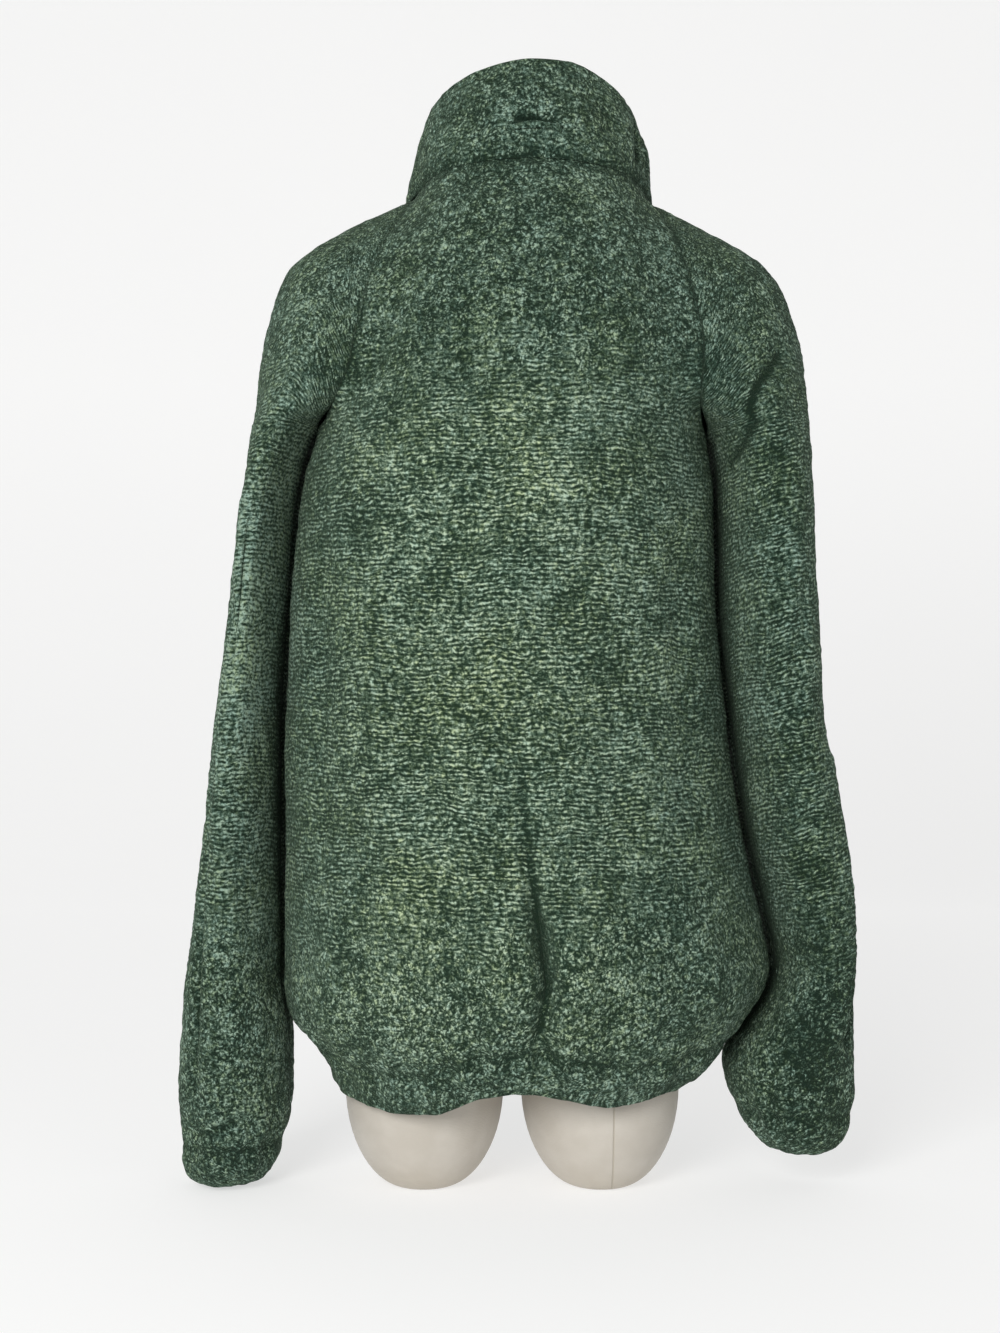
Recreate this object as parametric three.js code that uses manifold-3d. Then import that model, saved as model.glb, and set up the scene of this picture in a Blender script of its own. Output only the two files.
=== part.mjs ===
// A sherpa fleece jacket, zipped up and worn by a limbless torso form that stands on its two thigh ends.
// Millimetres, +Z up, the jacket's front towards -Y. The origin is on the floor, under the whole's middle.
import * as THREE from "three";
import { mergeVertices } from "three/addons/utils/BufferGeometryUtils.js";
import Module from "manifold-3d";

const wasm = await Module();
wasm.setup();

// Driving dimensions
const CLOTH = 4; // sherpa fleece: knitted ground and pile together
const COLLAR_CLOTH = 5; // two layers of the fleece, rolled over at the rim
const SEAM_GAP = 0.3;
const SEAM_STEP = 0.1; // degrees by which each piece stops short of a seam
const SKIN = 0.25; // each cloth face lies this far inside its drawn shape
const FORM_GAP = 1.4; // between the form's shoulders and the cloth that rests on them
const FORM_SHOULDER = { from: 625, to: 680, gapBelow: 5 }; // below, the form keeps further from the cloth
const ZIP_OPENING = 9; // between the two front edges
const ZIP_LINE = { hemX: 2, hemZ: 77, neckX: -12, neckZ: 728 };
const TAPE_WIDTH = 15;
const TAPE_THICKNESS = 0.9;
const TAPE_TOP = 6; // the tapes end this far under the collar's rim
const TAPE_PART = 1; // each tape's inner edge lies this far from the middle, for the teeth
const TAPE_LIFT = 0.6; // between the tapes and the cloth in front of them
const CASING = 32; // height of the elasticated hem and cuff casings
const BLEND = 46; // how softly the shoulder flows from body to sleeve
const ARMPIT_FADE = 50; // the blend grows over this height above the underarm
const NECK_FADE = { from: 725, to: 785, share: 0.3 }; // and shrinks towards the neck

// Mean radii, which turn an angle into a length round each piece
const BODY_RADIUS = 150;
const SLEEVE_RADIUS = 62;

const PLACE = { x: 0.3, y: -12.8 }; // brings the middle of the whole over the origin

// Horizontal sections of the jacket's body, from hem to neck: half width, depth behind and before the middle
const BODY = table(
  ["z", "halfWidth", "back", "front", "centreX", "centreY"],
  [
    [63, 132, 104, 102, 3, 2],
    [72, 137, 110, 105, 3, 2],
    [82, 141, 117, 109, 2, 2],
    [96, 150, 127, 115, -3, 2],
    [112, 163, 135, 121, -3, 2],
    [130, 176, 141, 125, -2, 2],
    [157, 188, 147, 129, -7, 2],
    [173, 190, 148, 130, -9, 2],
    [205, 187, 146, 130, -6, 2],
    [276, 179, 138, 127, 2, 2],
    [363, 173, 130, 125, 8, 2],
    [457, 166.5, 125, 126, 10, 1],
    [523, 163, 127, 128, 8, 0],
    [552, 160, 128, 128, 6, 0],
    [592, 152, 129, 124, 3, 0],
    [643, 151, 127, 113, -9, 0],
    [693, 136, 119, 98, -10, 0],
    [726, 119, 110, 88, -11, -1],
    [753, 101, 101, 80, -12, -2],
    [776, 90, 89, 73, -12, -2],
    [803, 87, 82, 69, -12, -2],
  ],
);

// Horizontal sections of the sleeves, from cuff to neck. Outer and inner edges are distances from x = 0.
const SLEEVE_COLUMNS = ["z", "outer", "inner", "halfDepth", "centreY"];
const SLEEVE_LEFT = table(SLEEVE_COLUMNS, [
  [2, 244, 205, 28, 14],
  [6, 251, 197, 36, 13],
  [14, 257, 190, 43, 13],
  [28, 260, 184, 49, 12],
  [48, 259.5, 179, 54, 12],
  [80, 261, 177, 58, 11],
  [110, 260.5, 177, 61, 10],
  [130, 258, 179, 63, 9],
  [165, 254.5, 184.5, 66, 8],
  [220, 247.5, 184.5, 70, 7],
  [276, 239.5, 184.5, 75, 5],
  [347, 231.5, 184.5, 80, 3],
  [442, 218.5, 180.5, 84, 0],
  [521, 211, 174.5, 87, 0],
  [552, 208, 169.5, 87, 0],
  [580, 206.5, 161, 87, 0],
  [592, 205.5, 153, 86, 0],
  [604, 204.5, 132, 86, 0],
  [643, 200, 98, 80, 0],
  [671, 194.5, 84, 75, 0],
  [694, 188.5, 72, 68, -1],
  [717, 178, 60, 59, -2],
  [730, 164, 52, 53, -3],
  [741, 145.5, 47, 46, -4],
  [753, 124, 46, 37, -4],
  [776, 80, 46, 20, -5],
  [803, 68, 48, 14, -5],
]);
const SLEEVE_RIGHT = table(SLEEVE_COLUMNS, [
  [27, 240.5, 203, 27, 14],
  [31, 247, 194, 36, 13],
  [40, 255, 185, 44, 13],
  [55, 260.5, 174, 51, 12],
  [75, 262, 167, 56, 10],
  [95, 262, 164, 59, 9],
  [112, 261.5, 170, 61, 8],
  [130, 261, 182, 63, 7],
  [157, 260.5, 198.5, 65, 6],
  [173, 259.5, 202.5, 66, 5],
  [205, 258, 197, 69, 5],
  [240, 255, 189, 72, 4],
  [276, 250, 181, 75, 4],
  [330, 241.5, 173, 79, 3],
  [363, 236.5, 168.5, 81, 2],
  [442, 232, 160.5, 85, 0],
  [521, 228, 158.5, 87, 0],
  [552, 228, 157.5, 87, 0],
  [575, 228.5, 155, 87, 0],
  [590, 228, 146, 87, 0],
  [604, 228, 128, 86, 0],
  [643, 225, 104, 80, 0],
  [694, 211, 82, 69, -1],
  [714, 200, 74, 62, -2],
  [727, 184, 68, 55, -3],
  [741, 160.5, 64, 47, -4],
  [753, 137, 64, 37, -4],
  [776, 100, 66, 20, -5],
  [803, 90, 68, 14, -5],
]);
// A sleeve's front hangs nearer to the body than its back, less and less up to the underarm
const SLEEVE_SLANT = { slope: 0.12, from: 500, to: 640 };

// Heights round the body, by the angle from the centre back, positive towards the wearer's left
const HEM = table(
  ["angle", "z"],
  [
    [-180, 77],
    [-140, 73],
    [-90, 84],
    [-62, 81],
    [-38, 75],
    [-16, 84],
    [0, 89],
    [12, 85],
    [30, 70],
    [46, 68],
    [66, 74],
    [90, 83],
    [140, 73],
    [180, 77],
  ],
);
const NECKLINE = table(
  ["angle", "z"],
  [
    [-180, 728],
    [-135, 745],
    [-90, 773],
    [-45, 785],
    [0, 789],
    [45, 785],
    [90, 773],
    [135, 745],
    [180, 728],
  ],
);
const RIM = table(
  ["angle", "z"],
  [
    [-180, 795],
    [-135, 805],
    [-90, 827],
    [-50, 855],
    [-20, 868],
    [0, 869],
    [30, 863],
    [60, 849],
    [90, 829],
    [135, 804],
    [180, 795],
  ],
);
const RIM_RING = { halfWidth: 84, halfDepth: 76, centreX: -12, centreY: -12 };
const COLLAR_BULGE = 3;

// Largest folds: from one end to the other, as an angle in degrees and a height, then width and depth in mm
const FOLD_COLUMNS = ["angle1", "z1", "angle2", "z2", "width", "depth"];
const BODY_FOLDS = rows(FOLD_COLUMNS, [
  [-3, 286, -4, 198, 10, 3],
  [-4, 233, -6, 118, 9, 9],
  [7, 243, 4, 133, 14, -6],
  [-14, 223, -16, 123, 15, -3],
  [44, 463, 34, 243, 20, -4],
  [30, 413, 20, 223, 16, 3],
  [-38, 423, -30, 253, 20, 3],
  [62, 513, 58, 293, 14, 4],
  [-60, 533, -56, 323, 15, 4],
  [52, 233, 60, 143, 16, -4],
  [-46, 223, -58, 143, 17, -4],
  [150, 473, 160, 243, 22, 5],
  [-150, 463, -162, 233, 22, 5],
  [128, 413, 138, 173, 18, -5],
  [-130, 423, -138, 183, 18, -5],
]);
const LEFT_FOLDS = rows(FOLD_COLUMNS, [
  [-100, 513, -80, 423, 10, 5],
  [-60, 463, -92, 373, 11, 4],
  [-50, 323, -62, 83, 9, 5],
  [-30, 613, -48, 493, 14, 4],
  [-70, 293, -110, 203, 13, -4],
  [50, 553, 80, 453, 13, 5],
  [30, 393, 66, 293, 14, 4],
  [70, 273, 100, 143, 14, 5],
  [10, 223, 24, 103, 12, 4],
  [-112, 57, -40, 45, 8, 4],
  [20, 59, 100, 47, 9, 4],
]);
const RIGHT_FOLDS = rows(FOLD_COLUMNS, [
  [-42, 648, -78, 553, 9, 7],
  [-100, 593, -112, 533, 10, 4],
  [-26, 338, -24, 113, 7, 9],
  [-48, 333, -44, 123, 12, -4],
  [-66, 463, -96, 373, 12, 4],
  [-84, 293, -112, 223, 12, 4],
  [48, 553, 78, 453, 13, 5],
  [30, 413, 64, 303, 14, 4],
  [72, 283, 100, 163, 14, 5],
  [12, 243, 26, 123, 12, 4],
]);
const COLLAR_FOLDS = rows(FOLD_COLUMNS, [
  [-72, 831, -66, 793, 6, 5],
  [-84, 843, -82, 793, 8, -3],
  [12, 819, -26, 817, 6, 2.5],
  [48, 835, 20, 805, 10, 2],
  [-34, 843, -50, 805, 10, 2],
]);

// Gathers made by the elastic: waves round the ring, depth, reach upwards, and the stitching's groove
const HEM_GATHERS = { waves: 30, depth: 2.2, fade: 40, stitch: 2.6 };
const CUFF_GATHERS = { waves: 11, depth: 1.8, fade: 30, stitch: 2.2 };
const STITCH_WIDTH = 7; // half width of the groove that the casing's stitching pulls in
const GATHER_START = { from: -8, to: 14 }; // heights over the edge between which the gathers set in
const GATHER_SHIFT = 1.7; // how far neighbouring gathers crowd together, in radians of a wave

// Folds fade out towards the raglan seams, so that the pieces there stay in line
const SEAM_FADE = { body: 0.25, sleeveFrom: 0.25, sleeveTo: 0.6, underarmFrom: 0.93 };

// Horizontal sections of the torso form
const FORM = table(
  ["z", "halfWidth", "back", "front", "centreX", "centreY"],
  [
    [88, 98, 70, 62, 3, 2],
    [102, 132, 98, 90, 2, 2],
    [125, 152, 118, 104, -1, 2],
    [160, 168, 129, 112, -4, 2],
    [205, 169, 131, 114, -5, 2],
    [276, 162, 123, 112, 0, 2],
    [363, 156, 115, 110, 6, 1],
    [457, 152, 113, 112, 8, 0],
    [540, 152, 116, 114, 5, 0],
    [600, 152, 116, 108, -2, 0],
    [643, 160, 112, 98, -8, 0],
    [683, 178, 100, 84, -9, -1],
    [708, 182, 88, 70, -10, -2],
    [728, 176, 78, 60, -10, -3],
    [743, 160, 70, 54, -11, -3],
    [757, 130, 63, 50, -11, -4],
    [767, 95, 59, 49, -11, -4],
    [778, 68, 56, 50, -11, -4],
    [799, 58, 54, 50, -11, -4],
  ],
);
const THIGHS = [
  { x: 72, halfWidth: 62 },
  { x: -66, halfWidth: 62 },
];
const THIGH_DEPTH = 72;
const THIGH_Y = 3;
const THIGH_ROUNDING = 75; // height over which a thigh end rounds off to its flat foot
const THIGH_FOOT = { width: 0.38, depth: 0.45 }; // the foot's share of the thigh's width and depth
const THIGH_TOP = 150;
const THIGH_ROUND_POWER = 0.6; // below one, the end is blunter than an ellipse
const THIGH_ROWS = [0, 0.06, 0.14, 0.26, 0.42, 0.62, 0.82, 1]; // shares of the rounding's height

// Zip slider and pull tab, at the top of the front opening
const SLIDER = { width: 8.4, length: 11, plate: 1.1, room: 1.6, drop: 13, parting: 0.5 };
const WEDGE = { width: 1.5, height: 3, fromTop: 2.4 };
const BRIDGE = { width: 2, length: 8, wall: 0.9, room: 2.4 };
const JOIN = 0.2; // the slider's parts run this far into each other
const PULL = { length: 24, width: 6, thickness: 1.3, bar: 1.2, window: 3.2, windowLength: 4.6 };
const HANGER = { angle: -1, width: 40, height: 6, thickness: 1.6, z: 811, rise: 3, stand: 3, gap: 0.4 };

// Rows of panel points, as shares of the height: hem to underarm, and underarm to neck
const LOWER_ROWS = steps([0, 0.025, 0.06, 0.1, 0.16, 0.24], 1, 9);
const UPPER_ROWS = steps([0, 0.03, 0.08, 0.15, 0.24, 0.36, 0.5, 0.62, 0.72, 0.8, 0.87, 0.94], 1, 1);
const SLEEVE_ROWS = steps([0, 0.02, 0.05, 0.09, 0.14], 1, 14);
const BACK_SHARES = [...between(0, 1, 22), 0.466, 0.481].sort((a, b) => a - b); // finer at the back's crease
const FRONT_SHARES = between(0, 1, 10);
const SLEEVE_ROUND = 18;
const COLLAR_COLUMNS = 32;
const COLLAR_ROWS = 6;
const FORM_ROUND = 24;
const SLEEVE_GATHERED = 0.7; // how far the columns just under the underarm move towards those above it

// Where edges are looked for: heights in mm, and the search's steps along a ray
const UNDERARM_RANGE = { low: 500, high: 630 };
const SEAM_TOP_RANGE = { low: 740, high: 805 };
const RAY = { start: 2, least: 0.3, most: 12, reach: 320 };
const RING_POWER = 2.2; // sections are a little squarer than ellipses

// Small helpers

function table(names, lines) {
  const made = { names, lines };
  made.columns = names.slice(1).map((_, c) => smoothColumn(lines.map((l) => [l[0], l[c + 1]])));
  return made;
}

function rows(names, lines) {
  return lines.map((line) => Object.fromEntries(names.map((name, i) => [name, line[i]])));
}

// A curve through the points that never overshoots them: a monotone cubic
function smoothColumn(points) {
  const n = points.length;
  const step = points.slice(1).map((p, i) => p[0] - points[i][0]);
  const slope = points.slice(1).map((p, i) => (p[1] - points[i][1]) / step[i]);
  const tangent = points.map((_, i) => {
    if (i === 0) return slope[0];
    if (i === n - 1) return slope[n - 2];
    if (slope[i - 1] * slope[i] <= 0) return 0;
    const w1 = 2 * step[i] + step[i - 1];
    const w2 = step[i] + 2 * step[i - 1];
    return (w1 + w2) / (w1 / slope[i - 1] + w2 / slope[i]);
  });
  return (x) => {
    const at = Math.min(Math.max(x, points[0][0]), points[n - 1][0]);
    let i = 0;
    while (i < n - 2 && at > points[i + 1][0]) i += 1;
    const t = (at - points[i][0]) / step[i];
    const a = points[i][1];
    const b = points[i + 1][1];
    const rise = t * t * (3 - 2 * t);
    const curl = t * (1 - t) * (1 - t) * tangent[i] - t * t * (1 - t) * tangent[i + 1];
    return a + (b - a) * rise + step[i] * curl;
  };
}

function look(from, name, at) {
  return from.columns[from.names.indexOf(name) - 1](at);
}

function mix(a, b, t) {
  return a + (b - a) * t;
}

function clamp(x, low = 0, high = 1) {
  return Math.min(Math.max(x, low), high);
}

function ease(low, high, x) {
  const t = clamp((x - low) / (high - low));
  return t * t * (3 - 2 * t);
}

function steps(first, last, count) {
  const from = first[first.length - 1];
  const more = Array.from({ length: count }, (_, i) => mix(from, last, (i + 1) / count));
  return [...first, ...more];
}

function rad(degrees) {
  return (degrees * Math.PI) / 180;
}

function deg(radians) {
  return (radians * 180) / Math.PI;
}

function between(low, high, count) {
  return Array.from({ length: count + 1 }, (_, i) => mix(low, high, i / count));
}

function halfway(test, low, high, times = 34) {
  let [a, b] = [low, high];
  for (let i = 0; i < times; i += 1) {
    const middle = (a + b) / 2;
    if (test(middle)) a = middle;
    else b = middle;
  }
  return (a + b) / 2;
}

// The jacket's drawn shape, as signed distances in each horizontal section

function ringDistance(x, y, halfWidth, depth) {
  const reach = Math.hypot(x, y);
  const sum = Math.pow(Math.abs(x) / halfWidth, RING_POWER) + Math.pow(Math.abs(y) / depth, RING_POWER);
  const size = Math.pow(sum, 1 / RING_POWER);
  return size < 1e-9 ? -Math.min(halfWidth, depth) : reach * (1 - 1 / size);
}

function torsoDistance(from, x, y, z) {
  const dy = y - look(from, "centreY", z);
  const depth = look(from, dy > 0 ? "back" : "front", z);
  return ringDistance(x - look(from, "centreX", z), dy, look(from, "halfWidth", z), depth);
}

function sleeveOf(side) {
  return side > 0 ? SLEEVE_LEFT : SLEEVE_RIGHT;
}

function sleeveSection(side, z) {
  const from = sleeveOf(side);
  const outer = look(from, "outer", z);
  const inner = look(from, "inner", z);
  return {
    x: (side * (outer + inner)) / 2,
    y: look(from, "centreY", z),
    halfWidth: (outer - inner) / 2,
    halfDepth: look(from, "halfDepth", z),
    slant: SLEEVE_SLANT.slope * (1 - ease(SLEEVE_SLANT.from, SLEEVE_SLANT.to, z)),
  };
}

// The sleeve's own coordinates: outwards from its middle, and towards the front
function sleeveLocal(side, section, x, y) {
  const back = y - section.y;
  return { out: side * (x - section.x) - section.slant * back, front: -back };
}

function sleeveDistance(side, x, y, z) {
  const section = sleeveSection(side, z);
  const local = sleeveLocal(side, section, x, y);
  return ringDistance(local.out, local.front, section.halfWidth, section.halfDepth);
}

function softUnion(a, b, k) {
  if (k < 1e-6) return Math.min(a, b);
  const h = clamp(0.5 + (0.5 * (b - a)) / k);
  return mix(b, a, h) - k * h * (1 - h);
}

// Where body and sleeve first touch, going up: the underarm
const UNDERARM = Object.fromEntries(
  [1, -1].map((side) => [
    side,
    halfway(
      (z) => {
        const s = sleeveSection(side, z);
        const edge = look(BODY, "centreX", z) * side + look(BODY, "halfWidth", z);
        return s.x * side - s.halfWidth > edge;
      },
      UNDERARM_RANGE.low,
      UNDERARM_RANGE.high,
    ),
  ]),
);

function blendAt(side, z) {
  const nearNeck = ease(NECK_FADE.from, NECK_FADE.to, z);
  return BLEND * ease(UNDERARM[side], UNDERARM[side] + ARMPIT_FADE, z) * mix(1, NECK_FADE.share, nearNeck);
}

function jacketDistance(x, y, z) {
  let d = torsoDistance(BODY, x, y, z);
  for (const side of [1, -1])
    if (z > UNDERARM[side]) d = softUnion(d, sleeveDistance(side, x, y, z), blendAt(side, z));
  return d;
}

function gradient(field, p) {
  const e = 0.5;
  return new THREE.Vector3(
    field(p.x + e, p.y, p.z) - field(p.x - e, p.y, p.z),
    field(p.x, p.y + e, p.z) - field(p.x, p.y - e, p.z),
    field(p.x, p.y, p.z + e) - field(p.x, p.y, p.z - e),
  ).multiplyScalar(1 / (2 * e));
}

// The first point outwards from a section's centre where the field turns positive
function exit(field, centre, direction, z) {
  const at = (r) => field(centre.x + direction.x * r, centre.y + direction.y * r, z);
  let r = RAY.start;
  let step = 0;
  for (let d = at(r); r < RAY.reach && d < 0; d = at(r)) {
    step = clamp(-d / 2, RAY.least, RAY.most);
    r += step;
  }
  const hit = halfway((q) => at(q) < 0, r - step, r);
  return new THREE.Vector3(centre.x + direction.x * hit, centre.y + direction.y * hit, z);
}

// Body points go by the angle from the centre back, sleeve points by the angle from the sleeve's outer side

function bodyCentre(z) {
  return { x: look(BODY, "centreX", z), y: look(BODY, "centreY", z) };
}

function bodyPoint(angle, z) {
  const direction = { x: Math.sin(rad(angle)), y: Math.cos(rad(angle)) };
  return exit(jacketDistance, bodyCentre(z), direction, z);
}

// A sleeve's angle is that of its stretched circle, from the outer side, positive towards the front
function sleevePoint(side, angle, z) {
  const section = sleeveSection(side, z);
  const out = Math.cos(rad(angle)) * section.halfWidth;
  const front = Math.sin(rad(angle)) * section.halfDepth;
  const direction = new THREE.Vector2(side * (out - section.slant * front), -front).normalize();
  const closed = z <= UNDERARM[side];
  const field = closed ? (x, y, h) => sleeveDistance(side, x, y, h) : jacketDistance;
  return exit(field, section, direction, z);
}

// The raglan seam at a height: the body's angle there. Under the armpit it is the side seam, at 90 degrees.
const seamKept = new Map();
function seamAngle(side, facing, z) {
  const key = [side, facing, z.toFixed(4)].join();
  if (!seamKept.has(key)) seamKept.set(key, findSeam(side, facing, z));
  return seamKept.get(key);
}

function findSeam(side, facing, z) {
  const underarm = side * 90;
  if (z <= UNDERARM[side] + 1e-6) return underarm;
  const bodyNearer = (angle) => {
    const p = bodyPoint(angle, z);
    return torsoDistance(BODY, p.x, p.y, z) < sleeveDistance(side, p.x, p.y, z);
  };
  const start = facing > 0 ? side * 8 : side * 172;
  const share = halfway((t) => bodyNearer(mix(start, underarm, t)), 0, 1);
  return mix(start, underarm, share) - SEAM_STEP * side * facing;
}

function seamTop(side, facing) {
  const under = (z) => z < look(NECKLINE, "z", seamAngle(side, facing, z));
  return halfway(under, SEAM_TOP_RANGE.low, SEAM_TOP_RANGE.high);
}

// A seam's angle on the sleeve, kept below zero at the back and above it at the front
function sleeveAngle(side, facing, point) {
  const section = sleeveSection(side, point.z);
  const local = sleeveLocal(side, section, point.x, point.y);
  const angle = deg(Math.atan2(local.front / section.halfDepth, local.out / section.halfWidth));
  return angle * facing > 0 ? angle - 360 * facing : angle;
}

// Folds and gathers, as a depth into the cloth

function foldDepth(folds, angle, z, radius) {
  let depth = 0;
  for (const f of folds) {
    const along = { x: rad(f.angle2 - f.angle1) * radius, y: f.z2 - f.z1 };
    const here = { x: rad(angle - f.angle1) * radius, y: z - f.z1 };
    const t = clamp((here.x * along.x + here.y * along.y) / (along.x ** 2 + along.y ** 2));
    const off = Math.hypot(here.x - along.x * t, here.y - along.y * t);
    const taper = 0.45 + 0.55 * Math.sin(Math.PI * clamp(t, 0.08, 0.92));
    depth += f.depth * taper * Math.exp(-((off / f.width) ** 2));
  }
  return depth;
}

function gatherDepth(gathers, angle, above) {
  const line = Math.exp(-(((above - CASING) / STITCH_WIDTH) ** 2));
  const start = ease(GATHER_START.from, GATHER_START.to, above);
  const fade = Math.exp(-Math.abs(above - CASING) / gathers.fade) * start;
  const uneven = 0.7 + 0.3 * Math.sin(rad(angle * 5 + 40));
  const wave = Math.sin(rad(angle * gathers.waves) + GATHER_SHIFT * Math.sin(rad(angle * 3)));
  return gathers.stitch * line + gathers.depth * fade * uneven * wave;
}

function bodyDepth(angle, z, seamFade) {
  const above = z - look(HEM, "z", angle);
  return foldDepth(BODY_FOLDS, angle, z, BODY_RADIUS) * seamFade + gatherDepth(HEM_GATHERS, angle, above);
}

function sleeveDepth(side, angle, z, seamFade) {
  const folds = side > 0 ? LEFT_FOLDS : RIGHT_FOLDS;
  const above = z - sleeveOf(side).lines[0][0];
  return foldDepth(folds, angle, z, SLEEVE_RADIUS) * seamFade + gatherDepth(CUFF_GATHERS, angle, above);
}

// One cloth point: its outer and inner place. Near the underarm each piece keeps its own normal.
function clothPoint(base, own, side, depth, thickness) {
  const whole = gradient(jacketDistance, base).normalize();
  const alone = gradient(own, base).normalize();
  const share = ease(0.02, 0.6, blendAt(side, base.z) / BLEND);
  const normal = alone.lerp(whole, share).normalize();
  const outer = base.clone().addScaledVector(normal, -SKIN - depth);
  return { outer, inner: outer.clone().addScaledVector(normal, -thickness) };
}

// Solids from grids of cloth points

function closedGeometry(points, triangles) {
  const position = new Float32Array(points.flatMap((p) => [p.x, p.y, p.z]));
  const geometry = new THREE.BufferGeometry();
  geometry.setAttribute("position", new THREE.BufferAttribute(position, 3));
  let volume = 0;
  for (const [a, b, c] of triangles) volume += points[a].dot(points[b].clone().cross(points[c]));
  const facing = volume < 0 ? triangles.map(([a, b, c]) => [a, c, b]) : triangles;
  geometry.setIndex(facing.flat());
  geometry.computeVertexNormals();
  return geometry;
}

// grid[row][column] holds {outer, inner}. Rows up to closedRows join their last column to their first.
function wallGeometry(grid, closedRows = -1) {
  const rowCount = grid.length;
  const columnCount = grid[0].length;
  const points = grid.flat().flatMap((p) => [p.outer, p.inner]);
  const at = (i, j, inner) => {
    const column = i <= closedRows && j === columnCount - 1 ? 0 : j;
    return 2 * (i * columnCount + column) + inner;
  };
  const triangles = [];
  const quad = (a, b, c, d) => triangles.push([a, b, c], [a, c, d]);
  for (let i = 0; i < rowCount - 1; i += 1)
    for (let j = 0; j < columnCount - 1; j += 1) {
      quad(at(i, j, 0), at(i, j + 1, 0), at(i + 1, j + 1, 0), at(i + 1, j, 0));
      quad(at(i, j, 1), at(i + 1, j, 1), at(i + 1, j + 1, 1), at(i, j + 1, 1));
    }
  for (let j = 0; j < columnCount - 1; j += 1) {
    quad(at(0, j, 0), at(0, j, 1), at(0, j + 1, 1), at(0, j + 1, 0));
    const top = rowCount - 1;
    quad(at(top, j, 0), at(top, j + 1, 0), at(top, j + 1, 1), at(top, j, 1));
  }
  for (let i = Math.max(closedRows, 0); i < rowCount - 1; i += 1) {
    const last = columnCount - 1;
    quad(at(i, 0, 0), at(i + 1, 0, 0), at(i + 1, 0, 1), at(i, 0, 1));
    quad(at(i, last, 0), at(i, last, 1), at(i + 1, last, 1), at(i + 1, last, 0));
  }
  return closedGeometry(points, triangles);
}

// Rings of points closed by a flat cap at each end
function loftGeometry(rings) {
  const count = rings[0].length;
  const points = rings.flat();
  const triangles = [];
  for (let i = 0; i < rings.length - 1; i += 1)
    for (let j = 0; j < count; j += 1) {
      const k = (j + 1) % count;
      triangles.push([i * count + j, i * count + k, (i + 1) * count + k]);
      triangles.push([i * count + j, (i + 1) * count + k, (i + 1) * count + j]);
    }
  for (const [ring, turned] of [
    [0, true],
    [rings.length - 1, false],
  ]) {
    const middle = points.length;
    const centre = new THREE.Vector3();
    rings[ring].forEach((p) => centre.addScaledVector(p, 1 / count));
    points.push(centre);
    for (let j = 0; j < count; j += 1) {
      const [a, b] = [ring * count + j, ring * count + ((j + 1) % count)];
      triangles.push(turned ? [middle, b, a] : [middle, a, b]);
    }
  }
  return closedGeometry(points, triangles);
}

function solidOf(geometry) {
  const bare = geometry.clone();
  bare.deleteAttribute("normal");
  bare.deleteAttribute("uv");
  const merged = mergeVertices(bare, 1e-4);
  return new wasm.Manifold(
    new wasm.Mesh({
      numProp: 3,
      vertProperties: merged.attributes.position.array,
      triVerts: new Uint32Array(merged.index.array),
    }),
  );
}

function geometryOf(solid) {
  const mesh = solid.getMesh();
  const geometry = new THREE.BufferGeometry();
  geometry.setAttribute("position", new THREE.BufferAttribute(mesh.vertProperties, 3));
  geometry.setIndex(new THREE.BufferAttribute(mesh.triVerts, 1));
  geometry.computeVertexNormals();
  return geometry;
}

// The panels

// One panel of the body. edges(row) gives its two boundary angles and the height of the row at each.
function bodyPanel(shares, edges) {
  const lines = [
    ...LOWER_ROWS.map((share) => ({ upper: false, share })),
    ...UPPER_ROWS.slice(1).map((share) => ({ upper: true, share })),
  ];
  return lines.map((line) => {
    const [first, last] = edges(line);
    return shares.map((u) => {
      const angle = mix(first.angle, last.angle, u);
      const underarm = mix(first.underarm, last.underarm, u);
      const neckAngle = mix(first.neckAngle, last.neckAngle, u);
      const hem = look(HEM, "z", angle);
      const neck = look(NECKLINE, "z", neckAngle) - SEAM_GAP / 2;
      const z = line.upper ? mix(underarm, neck, line.share) : mix(hem, underarm, line.share);
      const side = angle > 0 ? 1 : -1;
      const base = bodyPoint(angle, z);
      const seamFade = line.upper ? 1 - ease(0, SEAM_FADE.body, line.share) : 1;
      const depth = bodyDepth(angle, z, seamFade);
      const own = (x, y, h) => torsoDistance(BODY, x, y, h);
      return clothPoint(base, own, side, depth, CLOTH);
    });
  });
}

// Where a row meets the seam on one side, facing the back (1) or the front (-1)
function seamEdge(side, facing, line) {
  const underarm = UNDERARM[side];
  const top = seamTop(side, facing);
  const neckAngle = seamAngle(side, facing, top);
  const z = line.upper ? mix(underarm, top, line.share) : underarm;
  const inset = SEAM_STEP * side * facing;
  return { angle: seamAngle(side, facing, z) - inset, underarm, neckAngle: neckAngle - inset };
}

// The zip runs straight, so its angle changes as the body sways. It may pass 180 degrees.
function zipX(z) {
  return mix(ZIP_LINE.hemX, ZIP_LINE.neckX, clamp((z - ZIP_LINE.hemZ) / (ZIP_LINE.neckZ - ZIP_LINE.hemZ)));
}

function frontAngle(side, z) {
  const aside = side * (zipX(z) - look(BODY, "centreX", z)) + ZIP_OPENING / 2;
  return side * (180 - deg(Math.atan2(aside, look(BODY, "front", z))));
}

function frontEdge(side, line) {
  const underarm = UNDERARM[side];
  const neck = look(NECKLINE, "z", 180);
  const z = line.upper ? mix(underarm, neck, line.share) : mix(look(HEM, "z", 180), underarm, line.share);
  return { angle: frontAngle(side, z), underarm, neckAngle: frontAngle(side, neck) };
}

function backPanel() {
  const grid = bodyPanel(BACK_SHARES, (line) => [seamEdge(-1, 1, line), seamEdge(1, 1, line)]);
  return wallGeometry(grid);
}

function frontGrid(side) {
  return bodyPanel(FRONT_SHARES, (line) => [seamEdge(side, -1, line), frontEdge(side, line)]);
}

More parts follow.
